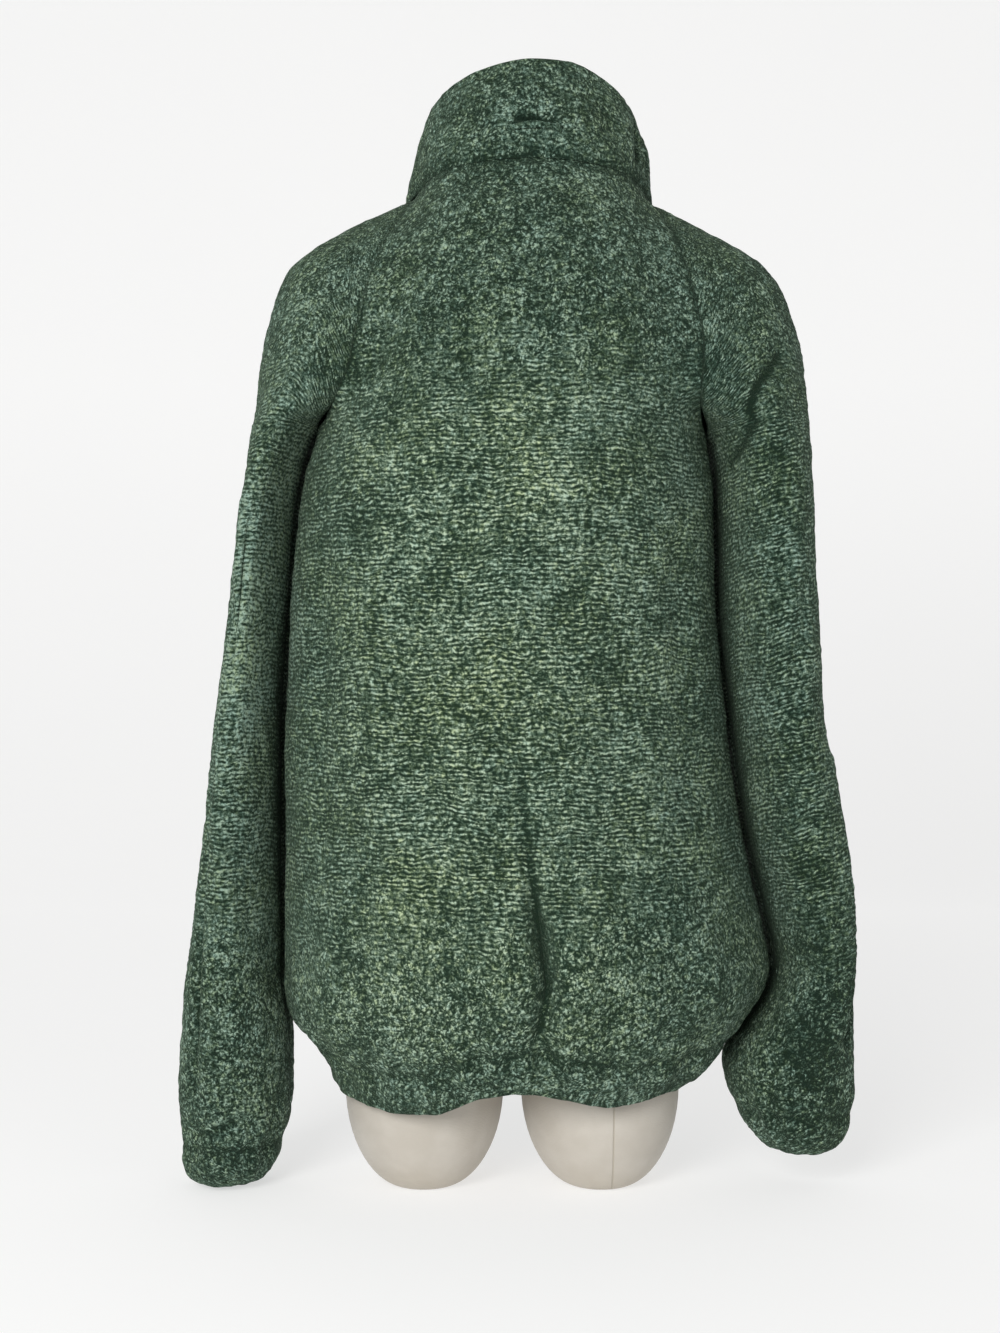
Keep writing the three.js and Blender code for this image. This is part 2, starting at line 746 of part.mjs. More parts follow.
function frontPanel(side) {
  return wallGeometry(frontGrid(side));
}

// A sleeve: a closed tube up to the underarm, then an open arc between its two raglan seams
function sleeveGrid(side) {
  const cuff = sleeveOf(side).lines[0][0];
  const own = (x, y, h) => sleeveDistance(side, x, y, h);
  const tops = [1, -1].map((facing) => seamTop(side, facing));
  const neckAngles = tops.map((top, i) => seamAngle(side, i === 0 ? 1 : -1, top));
  const endsAt = (share) =>
    tops.map((top, i) => {
      const facing = i === 0 ? 1 : -1;
      const z = mix(UNDERARM[side], top, share);
      const seam = bodyPoint(seamAngle(side, facing, z), z);
      return sleeveAngle(side, facing, seam) + 3 * SEAM_STEP * facing;
    });
  const firstEnds = endsAt(UPPER_ROWS[1]);
  const lower = SLEEVE_ROWS.map((share) => {
    const z = mix(cuff, UNDERARM[side], share);
    const gathered = SLEEVE_GATHERED * ease(0.8, 1, share);
    return between(0, 1, SLEEVE_ROUND).map((u) => {
      const even = mix(-180, 180, u);
      const edge = u === 0 || u === 1;
      const angle = edge ? even : mix(even, mix(firstEnds[0], firstEnds[1], u), gathered);
      const depth = sleeveDepth(side, angle, z, 1 - ease(SEAM_FADE.underarmFrom, 1, share));
      return clothPoint(sleevePoint(side, angle, z), own, side, depth, CLOTH);
    });
  });
  const upper = UPPER_ROWS.slice(1).map((share) => {
    const ends = endsAt(share);
    return between(0, 1, SLEEVE_ROUND).map((u) => {
      const neckAngle = mix(neckAngles[0], neckAngles[1], u);
      const neck = look(NECKLINE, "z", neckAngle) - SEAM_GAP / 2;
      const z = mix(UNDERARM[side], neck, share);
      const angle = mix(ends[0], ends[1], u);
      const base = share === 1 ? bodyPoint(neckAngle, z) : sleevePoint(side, angle, z);
      const fade = (1 - ease(SEAM_FADE.sleeveFrom, SEAM_FADE.sleeveTo, share)) * Math.sin(Math.PI * u);
      return clothPoint(base, own, side, sleeveDepth(side, angle, z, fade), CLOTH);
    });
  });
  return { grid: [...lower, ...upper], closedRows: lower.length - 1 };
}

function sleeve(side) {
  const { grid, closedRows } = sleeveGrid(side);
  return wallGeometry(grid, closedRows);
}

// A point of the collar's outer face, with the direction out of the cloth
function collarFrame(angle, t) {
  const foot = bodyPoint(angle, look(NECKLINE, "z", angle) + SEAM_GAP / 2);
  const direction = new THREE.Vector3(Math.sin(rad(angle)), Math.cos(rad(angle)), 0);
  const size = 1 / Math.hypot(direction.x / RIM_RING.halfWidth, direction.y / RIM_RING.halfDepth);
  const rim = new THREE.Vector3(
    RIM_RING.centreX + direction.x * size,
    RIM_RING.centreY + direction.y * size,
    look(RIM, "z", angle),
  );
  const place = foot.lerp(rim, t).addScaledVector(direction, COLLAR_BULGE * Math.sin(Math.PI * t));
  const depth = foldDepth(COLLAR_FOLDS, angle, place.z, RIM_RING.halfWidth);
  const fade = Math.sin(Math.PI * clamp(t, 0.04, 0.96));
  return { place: place.addScaledVector(direction, -SKIN - depth * fade), out: direction };
}

function collarGrid() {
  const half = deg(ZIP_OPENING / 2 / RIM_RING.halfDepth);
  return between(0, 1, COLLAR_ROWS).map((t) =>
    between(-180 + half, 180 - half, COLLAR_COLUMNS).map((angle) => {
      const { place, out } = collarFrame(angle, t);
      return { outer: place, inner: place.clone().addScaledVector(out, -COLLAR_CLOTH) };
    }),
  );
}

function collar() {
  return wallGeometry(collarGrid());
}

// The front's edge on one side, row by row, then the collar's. Each row is an edge point and its neighbour.
function openingEdge(side) {
  const panel = frontGrid(side).slice(0, -1).map((row) => row.slice(-2).reverse());
  const neck = collarGrid().map((row) => (side > 0 ? row.slice(-2).reverse() : row.slice(0, 2)));
  return [...panel, ...neck];
}

// A zip tape is made from the inner points of the opening's edge, moved in. The two part at the slider.
function zipTape(side) {
  const lines = openingEdge(side);
  const [below, rim] = lines.slice(-2);
  const share = 1 - TAPE_TOP / (rim[0].inner.z - below[0].inner.z);
  lines[lines.length - 1] = rim.map((p, i) => ({
    outer: below[i].outer.clone().lerp(p.outer, share),
    inner: below[i].inner.clone().lerp(p.inner, share),
  }));
  const sliderTop = rim[0].inner.z - TAPE_TOP - SLIDER.drop;
  const grid = lines.map(([edge, next]) => {
    const across = next.inner.clone().sub(edge.inner).normalize();
    const inward = edge.inner.clone().sub(edge.outer).normalize();
    const z = edge.inner.z;
    const parting = SLIDER.parting * ease(sliderTop - SLIDER.length, sliderTop, z);
    const toMiddle = Math.abs(edge.inner.x - zipX(z));
    const offsets = [TAPE_PART + parting - toMiddle, 0, TAPE_WIDTH - toMiddle];
    return offsets.map((offset) => {
      const outer = edge.inner.clone().addScaledVector(across, offset);
      outer.addScaledVector(inward, TAPE_LIFT);
      return { outer, inner: outer.clone().addScaledVector(inward, TAPE_THICKNESS) };
    });
  });
  return wallGeometry(grid);
}

// The torso form: its own figure, kept clear of the cloth that rests on its shoulders
function formDistance(x, y, z) {
  const figure = torsoDistance(FORM, x, y, z);
  const reach = ease(FORM_SHOULDER.from, FORM_SHOULDER.to, z);
  const p = new THREE.Vector3(x, y, z);
  const slope = mix(1, Math.max(gradient(jacketDistance, p).length(), 1), reach);
  const cloth = mix(torsoDistance(BODY, x, y, z), jacketDistance(x, y, z), reach) / slope;
  return Math.max(figure, cloth + SKIN + CLOTH + mix(FORM_SHOULDER.gapBelow, FORM_GAP, reach));
}

function torsoForm() {
  const bottom = FORM.lines[0][0];
  const top = FORM.lines[FORM.lines.length - 1][0];
  const heights = [
    ...between(bottom, 640, 15),
    ...between(657, 728, 4),
    ...between(736, 783, 7),
    top,
  ];
  const angles = between(0, 360, FORM_ROUND).slice(0, -1);
  const rings = heights.map((z) => {
    const centre = { x: look(FORM, "centreX", z), y: look(FORM, "centreY", z) };
    return angles.map((angle) => {
      const direction = { x: Math.sin(rad(angle)), y: Math.cos(rad(angle)) };
      return exit(formDistance, centre, direction, z);
    });
  });
  return solidOf(loftGeometry(rings));
}

function thigh({ x, halfWidth }) {
  const low = THIGH_ROWS.map((share) => {
    const round = Math.pow(1 - (1 - share) ** 2, THIGH_ROUND_POWER);
    return { z: share * THIGH_ROUNDING, round };
  });
  const rings = [...low, { z: THIGH_TOP, round: 1 }].map(({ z, round }) =>
    between(0, 360, FORM_ROUND)
      .slice(0, -1)
      .map((angle) => {
        const direction = { x: Math.sin(rad(angle)), y: Math.cos(rad(angle)) };
        return new THREE.Vector3(
          x + direction.x * halfWidth * mix(THIGH_FOOT.width, 1, round),
          THIGH_Y + direction.y * THIGH_DEPTH * mix(THIGH_FOOT.depth, 1, round),
          z,
        );
      }),
  );
  return solidOf(loftGeometry(rings));
}

function dressForm() {
  const whole = THIGHS.reduce((solid, t) => solid.add(thigh(t)), torsoForm());
  return geometryOf(whole);
}

// Hardware

function boxSolid(width, depth, height, x = 0, y = 0, z = 0) {
  return solidOf(new THREE.BoxGeometry(width, depth, height).translate(x, y, z));
}

// Outlines are drawn in the X-Z plane and thickened towards -Y from y = 0
function plateSolid(shape, thickness, y = 0) {
  const plate = new THREE.ExtrudeGeometry(shape, { depth: thickness, bevelEnabled: false, curveSegments: 8 });
  return solidOf(plate.rotateX(Math.PI / 2).translate(0, y, 0));
}

function sliderShape(width, length) {
  const shape = new THREE.Shape();
  shape.moveTo(-width * 0.3, -length / 2);
  shape.lineTo(width * 0.3, -length / 2);
  shape.lineTo(width / 2, length * 0.1);
  shape.quadraticCurveTo(width / 2, length / 2, 0, length / 2);
  shape.quadraticCurveTo(-width / 2, length / 2, -width / 2, length * 0.1);
  shape.closePath();
  return shape;
}

// The middle of the slider, on the tapes' middle plane, and how far the front leans there
function sliderPlace() {
  const [low, high] = [collarFrame(180, 0.5), collarFrame(180, 1)].map((f) => f.place);
  const share = 1 - (TAPE_TOP + SLIDER.drop) / (high.z - low.z);
  const middle = low.clone().lerp(high, share);
  middle.y += COLLAR_CLOTH + TAPE_LIFT + TAPE_THICKNESS / 2;
  return { middle, lean: Math.atan2(low.y - high.y, high.z - low.z) };
}

// The slider's own frame: z up the zip, -y out of the cloth, the tapes' middle plane at y = 0
function zipSlider() {
  const { width, length, plate, room } = SLIDER;
  const shape = sliderShape(width, length);
  const front = plateSolid(shape, plate, -room);
  const back = plateSolid(shape, plate, room + plate);
  const wedge = boxSolid(WEDGE.width, 2 * room + JOIN, WEDGE.height, 0, 0, length / 2 - WEDGE.fromTop);
  const face = -room - plate;
  const half = BRIDGE.length / 2;
  const inside = half - BRIDGE.wall;
  const crown = BRIDGE.room + BRIDGE.wall;
  const outline = [
    [-half, -JOIN],
    [-half, BRIDGE.room],
    [-inside, crown],
    [inside, crown],
    [half, BRIDGE.room],
    [half, -JOIN],
    [inside, -JOIN],
    [inside, BRIDGE.room],
    [-inside, BRIDGE.room],
    [-inside, -JOIN],
  ];
  const arch = new THREE.Shape(outline.map(([along, out]) => new THREE.Vector2(along, out)));
  const bridge = new THREE.ExtrudeGeometry(arch, { depth: BRIDGE.width, bevelEnabled: false });
  bridge.translate(0, 0, -BRIDGE.width / 2);
  const turn = new THREE.Matrix4().set(0, 0, 1, 0, 0, -1, 0, face, 1, 0, 0, 0, 0, 0, 0, 1);
  const bridgeSolid = solidOf(bridge.applyMatrix4(turn));
  return geometryOf([back, wedge, bridgeSolid].reduce((a, b) => a.add(b), front));
}

// The pull tab hangs by the bar over its window, under the slider's bridge. Its origin is on that bar.
function zipPull() {
  const { length, width, thickness, bar, window, windowLength } = PULL;
  const shape = new THREE.Shape();
  shape.moveTo(-width / 2, bar / 2);
  shape.lineTo(-width / 2, -length + width / 2);
  shape.absarc(0, -length + width / 2, width / 2, Math.PI, 2 * Math.PI, false);
  shape.lineTo(width / 2, bar / 2);
  shape.closePath();
  const hole = new THREE.Path();
  hole.moveTo(-window / 2, -bar / 2);
  hole.lineTo(window / 2, -bar / 2);
  hole.lineTo(window / 2, -bar / 2 - windowLength);
  hole.lineTo(-window / 2, -bar / 2 - windowLength);
  hole.closePath();
  shape.holes.push(hole);
  return geometryOf(plateSolid(shape, thickness, thickness / 2));
}

// A short loop of folded tape, sewn to the collar by its two ends
function hangerLoop() {
  const spread = deg(HANGER.width / 2 / RIM_RING.halfWidth);
  const grid = between(0, 1, 12).map((s) => {
    const angle = HANGER.angle + mix(-spread, spread, s);
    const arch = Math.sin(Math.PI * s);
    return between(0, 1, 2).map((u) => {
      const z = HANGER.z + HANGER.rise * arch + (u - 0.5) * HANGER.height;
      const foot = look(NECKLINE, "z", angle);
      const t = (z - foot) / (look(RIM, "z", angle) - foot);
      const { place, out } = collarFrame(angle, t);
      const stand = HANGER.gap + HANGER.stand * arch;
      const inner = place.clone().addScaledVector(out, stand);
      return { outer: inner.clone().addScaledVector(out, HANGER.thickness), inner };
    });
  });
  return wallGeometry(grid);
}

// The scene

const fleece = new THREE.MeshStandardMaterial({ color: 0x47604c, roughness: 0.95, metalness: 0 });
const zipCloth = new THREE.MeshStandardMaterial({ color: 0x1f2a22, roughness: 0.8, metalness: 0 });
const zipMetal = new THREE.MeshStandardMaterial({ color: 0x2a2f2c, roughness: 0.4, metalness: 0.8 });
const linen = new THREE.MeshStandardMaterial({ color: 0xcfc9bc, roughness: 0.85, metalness: 0 });

const jacketOnForm = new THREE.Group();
jacketOnForm.position.set(PLACE.x, PLACE.y, 0);

function addPiece(name, geometry, material, parent = jacketOnForm) {
  const mesh = new THREE.Mesh(geometry, material.clone());
  mesh.name = name;
  parent.add(mesh);
  return mesh;
}

addPiece("dress_form", dressForm(), linen);
addPiece("back_panel", backPanel(), fleece);
addPiece("front_left", frontPanel(1), fleece);
addPiece("front_right", frontPanel(-1), fleece);
addPiece("sleeve_left", sleeve(1), fleece);
addPiece("sleeve_right", sleeve(-1), fleece);
addPiece("collar", collar(), fleece);
addPiece("hanger_loop", hangerLoop(), fleece);
addPiece("zip_tape_left", zipTape(1), zipCloth);
addPiece("zip_tape_right", zipTape(-1), zipCloth);

// The slider stands where the tapes part, turned to lie along them
const zipPlace = sliderPlace();
const slider = addPiece("zip_slider", zipSlider(), zipMetal);
slider.position.copy(zipPlace.middle);
slider.rotation.x = zipPlace.lean;
const pull = addPiece("zip_pull", zipPull(), zipMetal);
pull.position.copy(zipPlace.middle).add(
  new THREE.Vector3(0, -SLIDER.room - SLIDER.plate - BRIDGE.room / 2, 0).applyEuler(slider.rotation),
);

export default jacketOnForm;
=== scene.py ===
"""The looks of a sherpa fleece jacket on a limbless torso form: pile, folds, zip, cover, light and camera."""

import math

import bpy
import numpy as np
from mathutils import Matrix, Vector


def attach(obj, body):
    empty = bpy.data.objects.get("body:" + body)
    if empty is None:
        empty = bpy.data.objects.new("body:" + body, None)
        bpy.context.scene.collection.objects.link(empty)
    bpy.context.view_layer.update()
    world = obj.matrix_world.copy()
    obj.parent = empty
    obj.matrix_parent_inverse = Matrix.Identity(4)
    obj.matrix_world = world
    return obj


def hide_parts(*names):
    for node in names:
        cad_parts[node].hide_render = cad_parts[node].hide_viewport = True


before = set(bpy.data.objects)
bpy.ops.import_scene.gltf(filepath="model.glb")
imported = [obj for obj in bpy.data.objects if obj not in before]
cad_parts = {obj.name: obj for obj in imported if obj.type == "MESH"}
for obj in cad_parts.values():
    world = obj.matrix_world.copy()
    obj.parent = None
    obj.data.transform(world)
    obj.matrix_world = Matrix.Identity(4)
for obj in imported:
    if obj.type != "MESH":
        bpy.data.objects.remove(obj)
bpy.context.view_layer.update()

# Sizes in millimetres, as in the solids. The whole's place in the row frame is added at the end.
CLOTH = 4.0
COLLAR_CLOTH = 5.0
SEAM_GAP = 0.06
SEAM_STEP = 0.02
SKIN = 0.25
FORM_GAP = 1.4
FORM_SHOULDER = {"from": 625, "to": 680, "gap_below": 5}
ZIP_OPENING = 9
ZIP_LINE = {"hem_x": 2, "hem_z": 77, "neck_x": -12, "neck_z": 728}
TAPE_WIDTH = 15
TAPE_THICKNESS = 0.9
TAPE_TOP = 6
TAPE_PART = 1
TAPE_LIFT = 0.6
SLIDER_LENGTH = 11
SLIDER_DROP = 13
SLIDER_PARTING = 0.5
CASING = 32
BLEND = 46
ARMPIT_FADE = 32
NECK_FADE = {"from": 725, "to": 785, "share": 0.3}
SLEEVE_SLANT = {"slope": 0.12, "from": 500, "to": 640}
BODY_RADIUS = 150
SLEEVE_RADIUS = 62
RING_POWER = 2.2
PLACE = np.array([0.3, -12.8, 0.0])


def table(text):
    return [[float(word) for word in line.split()] for line in text.strip().splitlines()]


# z, half width, depth behind, depth before, centre x, centre y
BODY = table("""
63 132 104 102 3 2
72 137 110 105 3 2
82 141 117 109 2 2
96 150 127 115 -3 2
112 163 135 121 -3 2
130 176 141 125 -2 2
157 188 147 129 -7 2
173 190 148 130 -9 2
205 187 146 130 -6 2
276 179 138 127 2 2
363 173 130 125 8 2
457 166.5 125 126 10 1
523 163 127 128 8 0
552 160 128 128 6 0
592 152 129 124 3 0
643 151 127 113 -9 0
693 136 119 98 -10 0
726 119 110 88 -11 -1
753 101 101 80 -12 -2
776 90 89 73 -12 -2
803 87 82 69 -12 -2
""")
# z, outer, inner, half depth, centre y
SLEEVE_LEFT = table("""
2 244 205 28 14
6 251 197 36 13
14 257 190 43 13
28 260 184 49 12
48 259.5 179 54 12
80 261 177 58 11
110 260.5 177 61 10
130 258 179 63 9
165 254.5 184.5 66 8
220 247.5 184.5 70 7
276 239.5 184.5 75 5
347 231.5 184.5 80 3
442 218.5 180.5 84 0
521 211 174.5 87 0
552 208 169.5 87 0
580 206.5 161 87 0
592 205.5 153 86 0
604 204.5 132 86 0
643 200 98 80 0
671 194.5 84 75 0
694 188.5 72 68 -1
717 178 60 59 -2
730 164 52 53 -3
741 145.5 47 46 -4
753 124 46 37 -4
776 80 46 20 -5
803 68 48 14 -5
""")
SLEEVE_RIGHT = table("""
27 240.5 203 27 14
31 247 194 36 13
40 255 185 44 13
55 260.5 174 51 12
75 262 167 56 10
95 262 164 59 9
112 261.5 170 61 8
130 261 182 63 7
157 260.5 198.5 65 6
173 259.5 202.5 66 5
205 258 197 69 5
240 255 189 72 4
276 250 181 75 4
330 241.5 173 79 3
363 236.5 168.5 81 2
442 232 160.5 85 0
521 228 158.5 87 0
552 228 157.5 87 0
575 228.5 155 87 0
590 228 146 87 0
604 228 128 86 0
643 225 104 80 0
694 211 82 69 -1
714 200 74 62 -2
727 184 68 55 -3
741 160.5 64 47 -4
753 137 64 37 -4
776 100 66 20 -5
803 90 68 14 -5
""")
# angle from the centre back, z
HEM = table("""
-180 77
-140 73
-90 84
-62 81
-38 75
-16 84
0 89
12 85
30 70
46 68
66 74
90 83
140 73
180 77
""")
NECKLINE = table("""
-180 728
-135 745
-90 773
-45 785
0 789
45 785
90 773
135 745
180 728
""")
RIM = table("""
-180 795
-135 805
-90 827
-50 855
-20 868
0 869
30 863
60 849
90 829
135 804
180 795
""")
RIM_RING = {"half_width": 84, "half_depth": 76, "x": -12, "y": -12}
COLLAR_BULGE = 3

# Folds: angle and z of one end, angle and z of the other, width, depth. The last six of the body's, two of
# the left, five of the right and two of the collar's are narrow creases that the solids leave out.
BODY_FOLDS = table("""
-3 286 -4 198 10 3
-4 233 -6 118 9 9
7 243 4 133 14 -6
-14 223 -16 123 15 -3
44 463 34 243 20 -4
30 413 20 223 16 3
-38 423 -30 253 20 3
62 513 58 293 14 4
-60 533 -56 323 15 4
52 233 60 143 16 -4
-46 223 -58 143 17 -4
150 473 160 243 22 5
-150 463 -162 233 22 5
128 413 138 173 18 -5
-130 423 -138 183 18 -5
-4 270 -5.4 132 3.4 4.5
0.4 262 -1.2 140 5 -2.5
-8.6 262 -9.8 140 5 -2.5
-4.2 335 -4 268 5 2
-20 205 -27 120 7 2.5
12 190 18 118 7 2.5
""")
LEFT_FOLDS = table("""
-100 513 -80 423 10 5
-60 463 -92 373 11 4
-50 323 -62 83 9 5
-30 613 -48 493 14 4
-70 293 -110 203 13 -4
50 553 80 453 13 5
30 393 66 293 14 4
70 273 100 143 14 5
10 223 24 103 12 4
-112 57 -40 45 8 4
20 59 100 47 9 4
-50 320 -61 90 4 2.5
-98 508 -82 430 4 2.5
""")
RIGHT_FOLDS = table("""
-53 644 -118 580 9 6
-100 593 -112 533 10 4
-20 342 -46 118 7 8
-42 330 -66 123 12 -4
-66 463 -96 373 12 4
-84 293 -112 223 12 4
48 553 78 453 13 5
30 413 64 303 14 4
72 283 100 163 14 5
12 243 26 123 12 4
-54 643 -117 582 4 6
-117 582 -150 558 5 5
-44 640 -100 572 9 -3
-20 340 -45.5 122 3.2 4.5
-32 330 -57 130 8 -3
""")
COLLAR_FOLDS = table("""
-72 831 -66 793 6 5
-84 843 -82 793 8 -3
11 819 -9 818 5 2
48 835 20 805 10 2
-34 843 -50 805 10 2
8 819 -6 818 2.6 4
-73 830 -67 796 3 4
""")
# Painted shade and painted light on the pile, given as the folds are, with a darkness last. Above zero it is
# painted shade in sharp creases, in the crevices beside the sleeves and over the lower right sleeve; below zero
# it is painted light on flanks and sleeves.
BODY_PAINTED_SHADING = table("""
84 600 84 200 15 -0.18
85 600 88 470 13 -0.4
-82 590 -82 220 13 -0.12
-52 540 -52 190 34 -0.06
-88.5 560 -88.5 150 15 0.9
89 430 89 235 12 0.7
-4.2 264 -5.5 138 2.3 1.3
-4 330 -4.2 262 3 0.35
-5.5 138 -12 112 3 0.5
""")
LEFT_PAINTED_SHADING = table("""
-145 575 -150 110 24 -0.18
-75 640 -65 130 62 -0.13
-105 570 -98 300 34 -0.22
-176 425 -176 245 12 0.7
-160 590 -168 470 15 -0.4
-50 318 -61 92 2.5 0.5
-98 505 -82 430 3 0.4
-112 58 -60 46 3 0.4
""")
RIGHT_PAINTED_SHADING = table("""
-145 560 -150 200 17 -0.14
-54 642 -116 583 2.8 1.1
-116 583 -150 560 2.6 0.9
-90 190 -80 60 55 0.24
-20 338 -45.5 126 2.4 1.2
-175 550 -172 130 14 0.9
""")
# The first four rows paint the dark slit of shade just above the hanger loop, the last the shade in a crease.
COLLAR_PAINTED_SHADING = table("""
11 812 7.5 818.5 1.8 1.1
7.5 819 -1 819 2.4 1.5
-1 818.6 -8 815.5 1.8 1.2
-8 815.5 -11.5 819 1.4 0.8
-73 830 -67 796 2.6 0.9
""")
# Painted shade in the grooves along the seams, the neck seam and the casings' stitching
SEAM_PAINTED_SHADE = (0.3, 3)  # darkness and half width
NECK_PAINTED_SHADE = (0.22, 4)
CASING_PAINTED_SHADE = (0.3, 3)
ROW_TILT = {1: 0.08, -1: 0.3}  # rise of the courses on each sleeve, outward
# waves, depth, fade, stitch depth
HEM_GATHERS = (30, 2.2, 40, 2.6)
CUFF_GATHERS = (11, 1.8, 30, 2.2)
STITCH_WIDTH = 7

# z, half width, depth behind, depth before, centre x, centre y
FORM = table("""
88 98 70 62 3 2
102 132 98 90 2 2
125 152 118 104 -1 2
160 168 129 112 -4 2
205 169 131 114 -5 2
276 162 123 112 0 2
363 156 115 110 6 1
457 152 113 112 8 0
540 152 116 114 5 0
600 152 116 108 -2 0
643 160 112 98 -8 0
683 178 100 84 -9 -1
708 182 88 70 -10 -2
728 176 78 60 -10 -3
743 160 70 54 -11 -3
757 130 63 50 -11 -4
767 95 59 49 -11 -4
778 68 56 50 -11 -4
799 58 54 50 -11 -4
""")
# centre x, half width
THIGHS = {"thigh_left": (72, 62), "thigh_right": (-66, 62)}
THIGH_DEPTH = 72
THIGH_Y = 3
THIGH_ROUNDING = 75
THIGH_FOOT = (0.38, 0.45)
THIGH_TOP = 150
THIGH_LEVELS = [0, 0.008, 0.02, 0.04, 0.065, 0.1, 0.15, 0.21, 0.28, 0.36, 0.45, 0.55, 0.66, 0.78, 0.9, 1]
FORM_LEVELS = np.concatenate([np.linspace(88, 620, 24), np.linspace(634, 796, 30)])
FORM_CAP = [(0.97, 2.2), (0.9, 3.0)]  # size and rise of the rings that close the neck

# The zip's teeth: one in plan, its half height, and the height and size of its rings
TOOTH_PITCH = 2.6
TOOTH_HALF = 1.05
TOOTH_OUTLINE = [(-1.6, 0.62), (0.5, 0.62), (0.9, 0.36), (1.6, 0.55)]
TOOTH_OUTLINE += [(a, -b) for a, b in TOOTH_OUTLINE[::-1]]
TOOTH_RINGS = [(-1, 0.86), (-0.7, 1), (0.7, 1), (1, 0.86)]

# The cloth's pile
ROW_PITCH = 3.5  # between the courses of curls
GRID_ALONG = 1.9  # mesh rows
GRID_ACROSS = 1.9
LOWER_HEIGHT, UPPER_HEIGHT = 512, 190  # of the body panels below and above the underarm
BACK_GIRTH, SLEEVE_GIRTH = 324, 384
COLLAR_HEIGHT = 78
FRONT_MIDDLE = 135  # angle of the line down a front along which its courses are measured
SLEEVE_MIDDLE = 215  # x of a sleeve's middle
FRONT_START, SLEEVE_START = 240, 600  # of the pile's pattern across, so that no two pieces repeat it
EDGE_ROUND = 2.4  # turned edges
SEAM_GROOVE = (1.4, 5.5)  # depth and half width
NECK_GROOVE = (2.2, 5)
PILE_FORWARD = 0.35  # the middle of the pile stands this far out


# Curves and noise


def curve(points):
    """The monotone cubic through the first and the given column of a table."""
    xs, ys = (np.array(c, float) for c in zip(*points))
    step = np.diff(xs)
    slope = np.diff(ys) / step
    tangent = np.concatenate([slope[:1], np.zeros(len(xs) - 2), slope[-1:]])
    for i in range(1, len(xs) - 1):
        if slope[i - 1] * slope[i] > 0:
            w1, w2 = 2 * step[i] + step[i - 1], step[i] + 2 * step[i - 1]
            tangent[i] = (w1 + w2) / (w1 / slope[i - 1] + w2 / slope[i])

    def at(x):
        x = np.clip(x, xs[0], xs[-1])
        i = np.clip(np.searchsorted(xs, x) - 1, 0, len(xs) - 2)
        t = (x - xs[i]) / step[i]
        rise = t * t * (3 - 2 * t)
        curl = t * (1 - t) ** 2 * tangent[i] - t * t * (1 - t) * tangent[i + 1]
        return ys[i] + (ys[i + 1] - ys[i]) * rise + step[i] * curl

    return at


def columns(lines):
    return [curve([(line[0], line[c]) for line in lines]) for c in range(1, len(lines[0]))]


def mix(a, b, t):
    return a + (b - a) * t


def ease(low, high, x):
    t = np.clip((x - low) / (high - low), 0, 1)
    return t * t * (3 - 2 * t)


def lattice(ix, iy, iz, seed):
    n = (ix * 73856093) ^ (iy * 19349663) ^ (iz * 83492791) ^ (seed * 2654435761)
    n &= 0xFFFFFFFF
    n = ((n ^ (n >> 15)) * 2246822519) & 0xFFFFFFFF
    n = ((n ^ (n >> 13)) * 3266489917) & 0xFFFFFFFF
    n ^= n >> 16
    return (n & 0xFFFFFF) / 0x800000 - 1.0


def noise(p, size, seed):
    """Smooth noise from -1 to 1 in space, with cells of that size."""
    q = p / size
    cell = np.floor(q).astype(np.int64)
    f = q - cell
    f = f * f * (3 - 2 * f)
    total = 0
    for dx in (0, 1):
        for dy in (0, 1):
            for dz in (0, 1):
                wx = f[..., 0] if dx else 1 - f[..., 0]
                wy = f[..., 1] if dy else 1 - f[..., 1]
                wz = f[..., 2] if dz else 1 - f[..., 2]
                value = lattice(cell[..., 0] + dx, cell[..., 1] + dy, cell[..., 2] + dz, seed)
                total = total + wx * wy * wz * value
    return total


# The drawn shape, as signed distances in horizontal sections

BODY_AT, FORM_AT = columns(BODY), columns(FORM)
SLEEVE_LINES = {1: SLEEVE_LEFT, -1: SLEEVE_RIGHT}
SLEEVE_AT = {side: columns(lines) for side, lines in SLEEVE_LINES.items()}
HEM_AT, NECK_AT, RIM_AT = curve(HEM), curve(NECKLINE), curve(RIM)
SIDES = (1, -1)


def ring(x, y, half_width, depth):
    reach = np.hypot(x, y)
    size = (np.abs(x) / half_width) ** RING_POWER + (np.abs(y) / depth) ** RING_POWER
    size = np.maximum(size, 1e-20) ** (1 / RING_POWER)
    return reach * (1 - 1 / size)


def torso_cut(at, z):
    return [column(z) for column in at]


def torso_field(cut, x, y):
    half_width, back, front, cx, cy = cut
    return ring(x - cx, y - cy, half_width, np.where(y > cy, back, front))


def body_cut(z):
    return torso_cut(BODY_AT, z)


def sleeve_cut(side, z):
    outer, inner, half_depth, cy = (column(z) for column in SLEEVE_AT[side])
    slant = SLEEVE_SLANT["slope"] * (1 - ease(SLEEVE_SLANT["from"], SLEEVE_SLANT["to"], z))
    return side * (outer + inner) / 2, cy, (outer - inner) / 2, half_depth, slant


def sleeve_local(side, cut, x, y):
    cx, cy, _, _, slant = cut
    back = y - cy
    return side * (x - cx) - slant * back, -back


def sleeve_field(side, cut, x, y):
    out, front = sleeve_local(side, cut, x, y)
    return ring(out, front, cut[2], cut[3])


def bisect(test, low, high, times=34):
    for _ in range(times):
        middle = (low + high) / 2
        inside = test(middle)
        low, high = np.where(inside, middle, low), np.where(inside, high, middle)
    return (low + high) / 2


def sleeve_is_clear(side):
    def test(z):
        cx, _, half_width, _, _ = sleeve_cut(side, z)
        return cx * side - half_width > BODY_AT[3](z) * side + BODY_AT[0](z)

    return test


UNDERARM = {side: float(bisect(sleeve_is_clear(side), 500.0, 630.0)) for side in SIDES}


